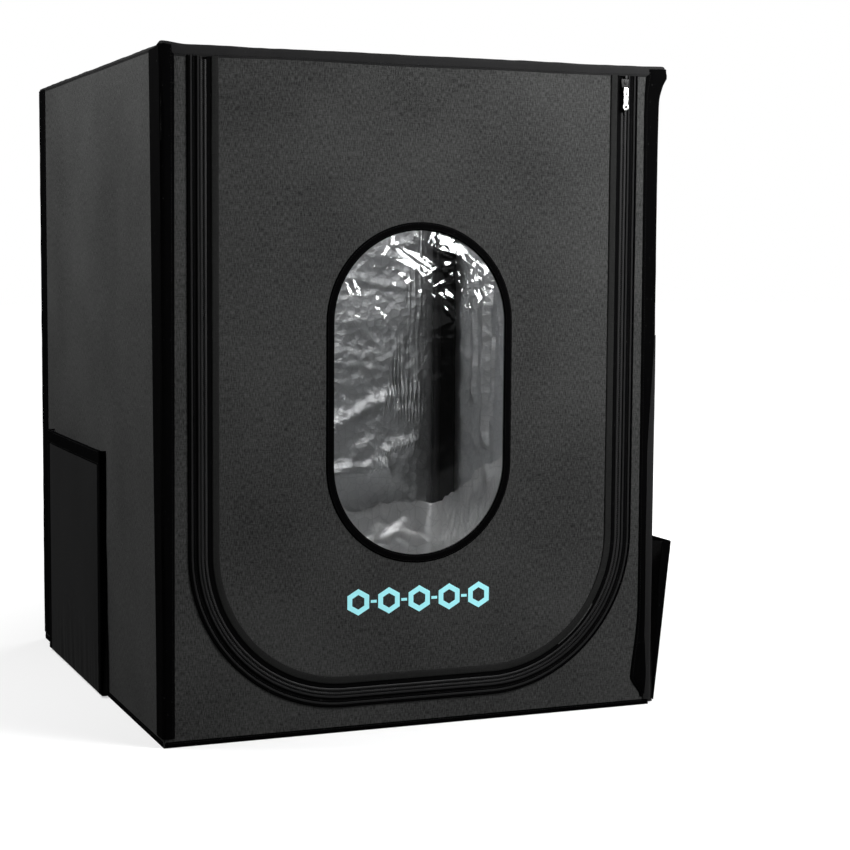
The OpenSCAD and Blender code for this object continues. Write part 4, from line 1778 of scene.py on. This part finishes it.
@dataclass
class Door:
    """The zipped door: fabric, foil, the clear window with its binding, and a plain print."""

    cover: Cover
    thickness: float = 1.4 * MM

    def __post_init__(self) -> None:
        """Reads the door's sizes from the frame."""
        low, high = ends_of("door_panel")
        self.front = low[1]
        bend = high[0] - flat_run("door_panel")
        self.edge = Outline(0.0, high[0], low[2], high[2], 0.0, bend)
        low, high = ends_of("window_binding")
        self.ring = Outline(0.0, high[0], low[2], high[2], high[0], high[0])
        self.film_y = low_of("window_film")[1]
        self.binding_w = 11 * MM
        self.hole = self.ring.grown(-self.binding_w)

    def out(self, flat: Array) -> Array:
        """How far the door's fabric stands out."""
        x, z = flat[:, 0], flat[:, 2]
        gap = np.hypot(x, z - np.clip(z, self.ring.low + self.ring.half,
                                      self.ring.high - self.ring.half)) - self.ring.half
        mask = ease(self.edge.inset(flat) / 0.05) * ease(gap / 0.05)
        broad = 1.5 * billow(flat, 0.26, 81) + 0.5 * billow(flat, (0.05, 1, 0.2), 82)
        fine = 0.12 * billow(flat, 0.02, 83)
        return MM * (1.0 + broad + fine) * mask

    def build(self) -> None:
        """Builds and dresses the door."""
        surface, count = ring_surface(self.hole, self.edge, self.front, 1, 260, self.out)
        panel = settle(surface.sheet("door_panel_cloth", (count, 64), self.thickness, closed=True),
                       OUTER, "door", "outer_fabric", "door_panel")
        size = self.edge.size()
        cut = self.edge.area() - self.hole.area()
        surface, count = ring_surface(self.hole, self.edge, low_of("door_lining")[1], 1, 160,
                                      lambda flat: self.out(flat) * 0.6)
        lining = settle(surface.sheet("door_lining_foil", (count, 40), 0.3 * MM, closed=True),
                        FOIL, "door", "foil_lining", "door_lining")
        self.build_film()
        self.build_ring()
        self.build_print()

    def build_film(self) -> None:
        """Builds the clear film, crumpled from being folded and shipped."""
        edge = self.hole.grown(self.binding_w * 0.75)
        _, middle = edge.centre()
        top = self.ring.high
        spots = (((-0.075, 0.030), (0.020, 0.084), 26), ((-0.020, 0.014), (0.032, 0.040), 11),
                 ((-0.090, 0.042), (-0.068, 0.072), 10), ((-0.078, 0.076), (-0.056, 0.098), 9),
                 ((-0.120, 0.076), (-0.100, 0.100), 11), ((0.058, 0.050), (0.112, 0.082), 9),
                 ((0.068, 0.084), (0.112, 0.072), 7), ((0.016, 0.090), (0.086, 0.140), 13),
                 ((-0.076, 0.108), (-0.044, 0.136), 7), ((-0.030, 0.184), (-0.010, 0.216), 6),
                 ((-0.100, 0.126), (-0.070, 0.134), 5))
        folds = [Fold((a[0], top - a[1]), (b[0], top - b[1]), wide * MM, 0.145 * wide * MM)
                 for a, b, wide in spots]

        def place(u: Array, v: Array) -> Array:
            """Points of the film, from its middle line to its edge."""
            angle = 2 * math.pi * u
            far = edge.seen_from((0.0, middle), angle)
            spine = stack(0, middle + np.cos(angle) * 0.09)
            at = spine + (far - spine) * v[:, None]
            upper = ease((at[:, 1] - edge.low - 0.62 * (edge.high - edge.low)) / 0.10)
            mask = ease((1 - v) * 6)
            big, small = creases(at, 70, 0.018, 0.07, 91), creases(at, 260, 0.006, 0.022, 92)
            soft = billow(stack(at[:, 0], 0, at[:, 1]), 0.09, 93)
            depth = (0.1 + 1.3 * upper) * big + (0.08 + 1.1 * upper) * small + 0.5 * soft
            bright = sum(fold.height(at) for fold in folds)
            depth = MM * (0.3 - depth * mask) - bright * mask
            return stack(at[:, 0], self.film_y + depth, at[:, 1])

        surface = Surface(place, edge.size(), (0, 2))
        film = surface.sheet("window_film_sheet", (410, 116), 0.3 * MM, Skin.INWARD, closed=True)
        settle(film, FILM, "door", "clear_film", "window_film")
        edge.area()

    def ring_tape(self, y: float, way: int, seed: int) -> Surface:
        """One side of the window's binding.

        Args:
            y: The face it lies on.
            way: 1 where it faces front, -1 where it faces back.
            seed: Picks its puckers.

        Returns:
            The tape's shape, u round the window.
        """
        line = self.hole

        def place(u: Array, v: Array) -> Array:
            """Points of the tape, from the opening outwards."""
            at, out = line.along(u if way > 0 else 1 - u)
            at = at + out * (self.binding_w * (v * 1.02 - 0.02))[:, None]
            round_it = stack(u * 1.2, v * 0.011, 0)
            pucker = puckers(round_it, (0.28, (0.009, 0.02, 1)), (0.3, (0.04, 0.02, 1)), seed=seed)
            lift = MM * (0.2 + (1.5 + pucker) * crown(v))
            return stack(at[:, 0], y - way * lift, at[:, 1])

        return Surface(place, (self.ring.round_it(), self.binding_w))

    def build_ring(self) -> None:
        """Builds the window's binding, outside and inside, and sews it."""
        outside = self.ring_tape(self.front, 1, 101)
        inside = self.ring_tape(high_of("window_film")[1], -1, 103)
        parts = [side.sheet("ring", (420, 14), 0.9 * MM, closed=True) for side in (outside, inside)]
        ring = joined("window_ring_tape", parts)
        settle(ring, BINDING, "door", "edge_binding", "window_binding")
        self.ring.round_it()
        sew("window_ring_stitches", outside, (0.2, 0.8), "door")

    def build_print(self) -> None:
        """Builds the plain print under the window: a row of open hexagons joined by bars."""
        middle_z = (self.edge.low + self.ring.low) / 2 + 31 * MM
        tall, pitch, line = 36 * MM, 44 * MM, 7 * MM
        upright = (math.pi / 2, 0, 0)
        parts = []
        for k in range(-2, 3):
            cell = primitive("cell", "circle", vertices=6, radius=tall / 2, fill_type="NGON",
                             location=(k * pitch, 0, middle_z), rotation=upright)
            settle_transform(cell)
            in_edit(cell, lambda: bpy.ops.mesh.inset(thickness=line),
                    lambda: bpy.ops.mesh.delete(type="FACE"))
            parts.append(cell)
        for k in range(-2, 2):
            bar = primitive("bar", "plane", size=1, location=((k + 0.5) * pitch, 0, middle_z),
                            rotation=upright)
            bar.scale = (pitch - tall + 0.4 * MM, line * 0.55, 1)
            settle_transform(bar)
            parts.append(bar)
        ink = joined("door_print", parts)
        for _ in range(3):
            in_edit(ink, lambda: bpy.ops.mesh.subdivide(number_cuts=1))
        flat = points_of(ink)
        flat[:, 1] = self.front
        flat[:, 1] -= self.out(flat) + 0.08 * MM
        set_points(ink, flat)
        set_chart(ink, flat[:, [0, 2]])
        thicken(ink, 0.1 * MM, Skin.OUTWARD)
        settle(ink, INK, "door", "outer_fabric")


@dataclass
class RollStraps:
    """Two straps inside the door's top edge and the patches on the roof that they grip."""

    def build(self) -> None:
        """Builds and dresses the straps and the patches."""
        for side in ("left", "right"):
            low, high = ends_of(f"{side}_roll_strap")
            width, height = high[0] - low[0], high[2] - low[2]

            def place(u: Array, v: Array, low: Array = low, high: Array = high,
                      width: float = width, height: float = height) -> Array:
                """Points of a hanging strap with a slight curl at its free end."""
                curl = 1.6 * MM * ease((u - 0.7) / 0.3) + 0.5 * MM * np.sin(9 * u)
                rib = 0.15 * MM * np.cos(v * 8 * math.pi)
                return stack(high[0] - width * v, low[1] + 0.9 * MM + curl * 0.5 + rib,
                             high[2] - height * u)

            surface = Surface(place, (height, width))
            strap = surface.sheet(f"{side}_strap_webbing", (60, 24), 1.2 * MM, Skin.MIDDLE)
            settle(strap, WEBBING, f"{side}_strap", "strap_webbing", f"{side}_roll_strap")
            sew(f"{side}_strap_stitches", surface, (0.12, 0.88), f"{side}_strap", (0.0, 0.2),
                0.7 * MM)
        low, high = ends_of("roll_strap_patches")
        strap_w = high_of("right_roll_strap")[0] - low_of("right_roll_strap")[0]
        pads = []
        for side in (-1, 1):
            middle = side * (high[0] - strap_w / 2)

            def place(u: Array, v: Array, middle: float = middle) -> Array:
                """Points of a patch, with rounded edges."""
                x = middle + strap_w * (u - 0.5)
                y = low[1] + (high[1] - low[1]) * v
                edge = pinned(u, v, (strap_w, high[1] - low[1]), 3 * MM)
                fuzz = 0.25 * billow(stack(x, y, 0), 0.0016, 111)
                return stack(x, y, low[2] + MM * (0.3 + (0.8 + fuzz) * edge))

            pads.append(Surface(place, (strap_w, high[1] - low[1])).sheet(
                "pad", (36, 56), 0.8 * MM))
        pads = settle(joined("roll_strap_pads", pads), WEBBING, "cover", "strap_webbing",
                      "roll_strap_patches")


# ---------- pockets and port ----------


class Side(Enum):
    """The tent's two pocket sides, as the sign of x."""

    LEFT = -1
    RIGHT = 1


@dataclass
class Pocket:
    """A side pocket: panel, hem and side tapes, floor strip and folded gussets."""

    side: Side
    cover: Cover
    hem: float = 22 * MM
    tape: float = 14 * MM

    def __post_init__(self) -> None:
        """Reads the pocket's sizes from the frame."""
        self.name = self.side.name.lower()
        self.sign = self.side.value
        self.body = f"{self.name}_pocket"
        low, high = ends_of(f"{self.name}_pocket_panel")
        self.near, self.far = low[1], high[1]
        joint = next(j for j in frame["joints"] if j["child"] == self.body)
        self.pivot = np.array(joint["pos_m"], float)
        self.tall = high[2] - self.pivot[2]
        out = (high[0] if self.sign > 0 else -low[0]) - abs(self.pivot[0]) - 1.6 * MM
        self.lean = math.atan2(out, self.tall)
        self.wall = high_of("right_panel")[0] + 1.4 * MM
        self.up = Z * math.cos(self.lean) + X * self.sign * math.sin(self.lean)
        self.out = X * self.sign * math.cos(self.lean) - Z * math.sin(self.lean)

    def at(self, y: Array | float, rise: Array, out: Array | float) -> Array:
        """Points over the pocket's leaning face, from y, the rise up it and the distance out."""
        base = stack(self.pivot[0], y + 0 * rise, self.pivot[2])
        return base + self.up * rise[:, None] + self.out * np.reshape(out, (-1, 1))

    def bow(self, y: Array, rise: Array) -> Array:
        """How far the panel bows out: slack in the middle, gathered at its foot.

        Args:
            y: Where along the side.
            rise: Distance up the face.

        Returns:
            The distance at each point.
        """
        share = (y - self.near) / (self.far - self.near)
        up = rise / self.tall
        belly = 3.0 * np.sin(math.pi * share) * np.sin(math.pi * np.clip(up, 0, 1)) ** 0.7
        spot = stack(y, rise, 0)
        gather = 1.4 * billow(spot, (0.016, 0.2, 1), 121 + self.sign) * (1 - ease(up / 0.35))
        soft = 0.8 * billow(spot, (0.09, 0.16, 1), 123 + self.sign)
        edge = ease(np.minimum(share, 1 - share) * 8)
        lip = 1.6 * ease((up - 0.9) / 0.1) * np.sin(math.pi * share)
        return MM * ((belly + soft + gather) * edge + lip)

    def build(self) -> None:
        """Builds and dresses the pocket."""
        low = -0.4 * MM
        width = self.far - self.near
        turn = -self.sign

        def panel(u: Array, v: Array) -> Array:
            """Points of the panel."""
            u = u if turn < 0 else 1 - u
            y, rise = self.near + width * u, low + (self.tall - low) * v
            return self.at(y, rise, self.bow(y, rise) + 1.4 * MM)

        surface = Surface(panel, (width, self.tall))
        sheet = surface.sheet(f"{self.name}_pocket_cloth", (90, 66), 1.2 * MM)
        settle(sheet, POCKET, self.body, "pocket_fabric", f"{self.name}_pocket_panel")
        self.build_tapes(panel, width)
        self.build_floor()
        self.build_gussets()

    def build_tapes(self, panel: Place, width: float) -> None:
        """Builds the hem and the side tapes over the panel's edges.

        Args:
            panel: The panel's shape.
            width: The panel's width.
        """
        tall = self.tall
        hem_share = self.hem / tall
        side_share = self.tape / width

        def lifted(u: Array, v: Array, edge: Array) -> Array:
            """Points just over the panel, rounded off towards the tape's edges."""
            spot = stack(u * width, v * tall, 0)
            lift = tape_lift(0.25 * billow(spot, 0.012, 131), edge)
            return panel(u, v) + self.out * lift[:, None]

        def hem(u: Array, v: Array) -> Array:
            """Points of the hem."""
            return lifted(u, 1 - hem_share + hem_share * v * 1.004, v)

        def band(at: float) -> Place:
            """The shape of a side tape."""
            def place(u: Array, v: Array) -> Array:
                """Points of a side tape, u up it."""
                return lifted(at + side_share * (1 - v), u * (1 - hem_share), v)
            return place

        hem_surface = Surface(hem, (width, self.hem))
        parts = [hem_surface.sheet("hem", (110, 12), 1.0 * MM)]
        bands = [Surface(band(at), (tall - self.hem, self.tape)) for at in (0, 1 - side_share)]
        parts += [b.sheet("band", (90, 8), 1.0 * MM) for b in bands]
        tapes = settle(joined(f"{self.name}_pocket_tapes", parts), BINDING, self.body,
                       "edge_binding", f"{self.name}_pocket_binding")
        sew(f"{self.name}_hem_stitches", hem_surface, (0.12, 0.88), self.body)
        self.build_lip(tall)
        for k, surface in enumerate(bands):
            sew(f"{self.name}_pocket_side_stitches_{k}", surface, (0.2, 0.8), self.body)

    def build_lip(self, tall: float) -> None:
        """Builds the tape turned back from the panel onto the gussets.

        Args:
            tall: The panel's height.
        """
        for y, way in ((self.near, -1), (self.far, 1)):
            def place(u: Array, v: Array, y: float = y, way: int = way) -> Array:
                """Points of one turned tape, u up it."""
                v = v if way * self.sign > 0 else 1 - v
                rise = (tall - 1 * MM) * u
                deep = np.minimum(self.tape * v, MM * (2.0 + 60 * rise))
                spot = stack(rise, v * 0.01, 0)
                side = y + way * MM * (0.6 + 0.4 * billow(spot, 0.03, 152))
                return self.at(side, rise, 1.8 * MM - deep)
            strip = Surface(place, (tall, self.tape)).sheet(
                f"{self.name}_pocket_lip_{'rear' if way > 0 else 'fore'}", (90, 8), 0.9 * MM,
                Skin.MIDDLE)
            self.bellows(strip, BINDING)

    def build_floor(self) -> None:
        """Builds the strip under the pocket."""
        node = f"{self.name}_pocket_floor"
        low, high = ends_of(node)
        reach = abs(self.pivot[0]) - 0.2 * MM
        inner, outer = max(low[0], -reach), min(high[0], reach)

        def place(u: Array, v: Array) -> Array:
            """Points of the strip, dished a little and short of the panel that swings."""
            x = inner + (outer - inner) * v
            y = high[1] + (low[1] - high[1]) * u
            dip = 0.5 * MM * np.sin(math.pi * v) + 0.25 * MM * billow(
                stack(x, y, 0), 0.02, 141)
            return stack(x, y, high[2] - dip)

        surface = Surface(place, (high[1] - low[1], high[0] - low[0]))
        strip = surface.sheet(f"{self.name}_pocket_foot", (110, 8), 2.0 * MM)
        settle(strip, POCKET, "cover", "pocket_fabric", node)

    def build_gussets(self) -> None:
        """Builds the folded side walls, which open like a bellows."""
        top = self.tall - 3 * MM
        parts = []
        for y, inward in ((self.near + 1 * MM, 1), (self.far - 1 * MM, -1)):
            def place(u: Array, v: Array, y: float = y, inward: int = inward) -> Array:
                """Points of one gusset, from the wall to the panel and folded in between."""
                v = v if inward * self.sign > 0 else 1 - v
                rise = -2.0 * MM + (top + 2.0 * MM) * u
                inner = stack(self.sign * self.wall, y,
                              self.pivot[2] + rise * math.cos(self.lean))
                outer = self.at(y, rise, -0.2 * MM)
                deep = MM * (2 + 34 * ease(rise / 0.25)) * (1 - np.abs(2 * v - 1)) ** 0.9
                soft = 0.8 * MM * billow(stack(rise, v * 0.05, 0), 0.04, 151)
                points = inner + (outer - inner) * v[:, None]
                return points + Y * (inward * (deep + soft * (1 - np.abs(2 * v - 1))))[:, None]
            parts.append(Surface(place, (top, 80 * MM)).sheet(
                "gusset", (80, 16), 1.0 * MM, Skin.MIDDLE))
        gusset = joined(f"{self.name}_pocket_gusset_cloth", parts)
        self.bellows(gusset, GUSSET)
        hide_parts(f"{self.name}_pocket_gussets")

    def bellows(self, obj: Obj, finish: Finish) -> None:
        """Dresses a piece that stretches between the wall and the moving panel.

        Args:
            obj: The piece.
            finish: Its finish.
        """
        dress(obj, finish)
        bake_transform(obj)


@dataclass
class RearPort:
    """The cable port in the back: a bound opening and the flap over it."""

    cover: Cover

    @staticmethod
    def hole() -> Outline:
        """The port's opening."""
        low, high = ends_of("rear_port_binding")
        mid = (low[0] + high[0]) / 2
        ring = 12 * MM
        half = (high[0] - low[0]) / 2 - ring
        return Outline(mid, half, low[2] + ring, high[2] - ring, ring, ring)

    def build(self) -> None:
        """Builds and dresses the port's binding and flap."""
        hole = self.hole()
        back = self.cover.back
        wide = 12 * MM

        def ring(u: Array, v: Array) -> Array:
            """Points of the binding, from the opening outwards."""
            at, out = hole.along(1 - u)
            at = at + out * (wide * v)[:, None]
            pucker = 0.2 * billow(stack(u * 0.5, v * 0.01, 0), 0.01, 161)
            return stack(at[:, 0], back + tape_lift(pucker, v), at[:, 1])

        surface = Surface(ring, (hole.grown(wide).round_it(), wide))
        tape = surface.sheet("port_ring_tape", (200, 12), 0.9 * MM, closed=True)
        settle(tape, BINDING, "cover", "edge_binding", "rear_port_binding")
        sew("port_ring_stitches", surface, (0.15, 0.85), "cover")
        low, high = ends_of("rear_port_flap")
        radius = 12 * MM
        edge = Outline((low[0] + high[0]) / 2, (high[0] - low[0]) / 2, low[2], high[2],
                       radius, radius)
        middle = edge.centre()

        def flap(u: Array, v: Array) -> Array:
            """Points of the flap, from its middle out."""
            far = edge.seen_from(middle, -2 * math.pi * u)
            at = np.array(middle) + (far - middle) * (0.002 + 0.998 * v)[:, None]
            drop = (edge.high - at[:, 1]) / (edge.high - edge.low)
            curl = 1.2 * drop**2 + 0.3 * billow(stack(*at.T, 0), 0.05, 162)
            return stack(at[:, 0], high[1] + MM * curl, at[:, 1])

        surface = Surface(flap, edge.size(), (0, 2))
        cloth = surface.sheet("port_flap_cloth", (160, 30), 1.3 * MM, closed=True)
        settle(cloth, OUTER, "port_flap", "outer_fabric", "rear_port_flap")


# ---------- the frame's own pieces ----------


@dataclass
class Poles:
    """The tubes, connectors and zip stops, which keep their shape and get their finish."""

    def build(self) -> None:
        """Dresses the carried-over pieces."""
        for name, obj in frame["nodes"].items():
            if name.startswith(("upright", "top_rail", "bottom_rail")):
                dress(obj, STEEL)
            elif name.endswith("connectors"):
                dress(obj, MOULDED)
            elif name == "zip_stops":
                dress(obj, SLIDER)


# ---------- the studio ----------


@dataclass
class Studio:
    """A pale floor, soft lights and the camera."""

    def build(self) -> None:
        """Builds the studio."""
        self.floor()
        self.sky()
        self.lamp("key", (0.78, -1.2, 1.38), (0.1, -0.38, 0.5), (0.6, 0.6), 40)
        self.lamp("side", (-1.15, 0.1, 1.5), (-0.35, 0, 0.7), (0.5, 0.5), 26)
        self.lamp("rear", (2.2, 2.6, 2.4), (0, 0, 0.5), (1.6, 1.6), 60)
        self.lamp("spark", (1.55, -2.9, 1.25), (0, -0.38, 0.5), (0.5, 0.5), 24)
        self.lamp("inner", (0.05, -0.30, 0.84), (0.20, 0.36, 0.25), (0.5, 0.10), 0.95)
        self.camera()
        bpy.context.scene.view_settings.view_transform = "Standard"

    def floor(self) -> None:
        """A large pale floor."""
        floor = primitive("floor", "plane", size=40, location=(0, 0, -0.4 * MM))
        settle_transform(floor)
        paint = Finish("pale_floor", (0.4, 0.4, 0.4))
        material, tree, where = paint.start("Object")
        seen = tree.add("LightPath").outputs["Is Camera Ray"]
        far = tree.add("VectorMath", {0: where}, operation="LENGTH").outputs[1]
        glow = tree.times(seen, tree.between(far, 0.54, 1.0, 0.55, 1.5))
        paint.join(tree, base_color=tree.mixed(seen, solid(paint.colour, 0.3), solid(paint.colour)),
                   emission_strength=glow, emission_color=(1, 1, 1, 1), roughness=0.9,
                   specular_ior_level=0.0)
        floor.data.materials.append(material)

    def sky(self) -> None:
        """White to the eye, and dimmer as a light."""
        world = bpy.data.worlds.new("studio")
        bpy.context.scene.world = world
        world.use_nodes = True
        tree = Tree(world.node_tree)
        seen = tree.add("LightPath").outputs["Is Camera Ray"]
        ground = world.node_tree.nodes["Background"].inputs
        tree.feed(ground["Color"], (1, 1, 1, 1))
        tree.feed(ground["Strength"], tree.between(seen, 0.12, 1.0))

    def lamp(self, name: str, at: tuple, to: tuple, size: Pair,
             power: float) -> None:
        """A soft rectangular light.

        Args:
            name: Its name.
            at: Where it is.
            to: What it points at.
            size: Its width and height.
            power: Its power in watts.
        """
        data = bpy.data.lights.new(name, "AREA")
        data.shape = "RECTANGLE"
        data.size, data.size_y = size
        data.energy = power
        lamp = bpy.data.objects.new(name, data)
        bpy.context.scene.collection.objects.link(lamp)
        lamp.location = at
        lamp.visible_camera = False
        lamp.rotation_euler = (Vector(to) - Vector(at)).to_track_quat("-Z", "Y").to_euler()

    def camera(self) -> None:
        """The camera, low at the front left."""
        data = bpy.data.cameras.new("camera")
        camera = bpy.data.objects.new("camera", data)
        bpy.context.scene.collection.objects.link(camera)
        yaw, pitch, roll = 0.3904, -0.0888, 0.0071
        ahead = Vector((math.sin(yaw) * math.cos(pitch), math.cos(yaw) * math.cos(pitch),
                        math.sin(pitch)))
        turn = ahead.to_track_quat("-Z", "Y").to_matrix().to_4x4()
        camera.matrix_world = (
            Matrix.Translation((-0.9772, -2.7762, 0.6407)) @ turn @ Matrix.Rotation(roll, 4, "Z"))
        data.sensor_width = 36
        data.lens = 81.71
        bpy.context.scene.camera = camera


def main() -> None:
    """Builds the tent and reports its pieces."""
    logging.basicConfig(level=logging.INFO, format="%(message)s")
    cover = Cover()
    for section in (Studio(), cover, Lining(cover), Bindings(cover), Zip(cover), Door(cover),
                    RollStraps(), Pocket(Side.LEFT, cover), Pocket(Side.RIGHT, cover),
                    RearPort(cover), Poles()):
        section.build()
    bpy.data.objects.remove(stitch())


if __name__ == "__main__":
    main()
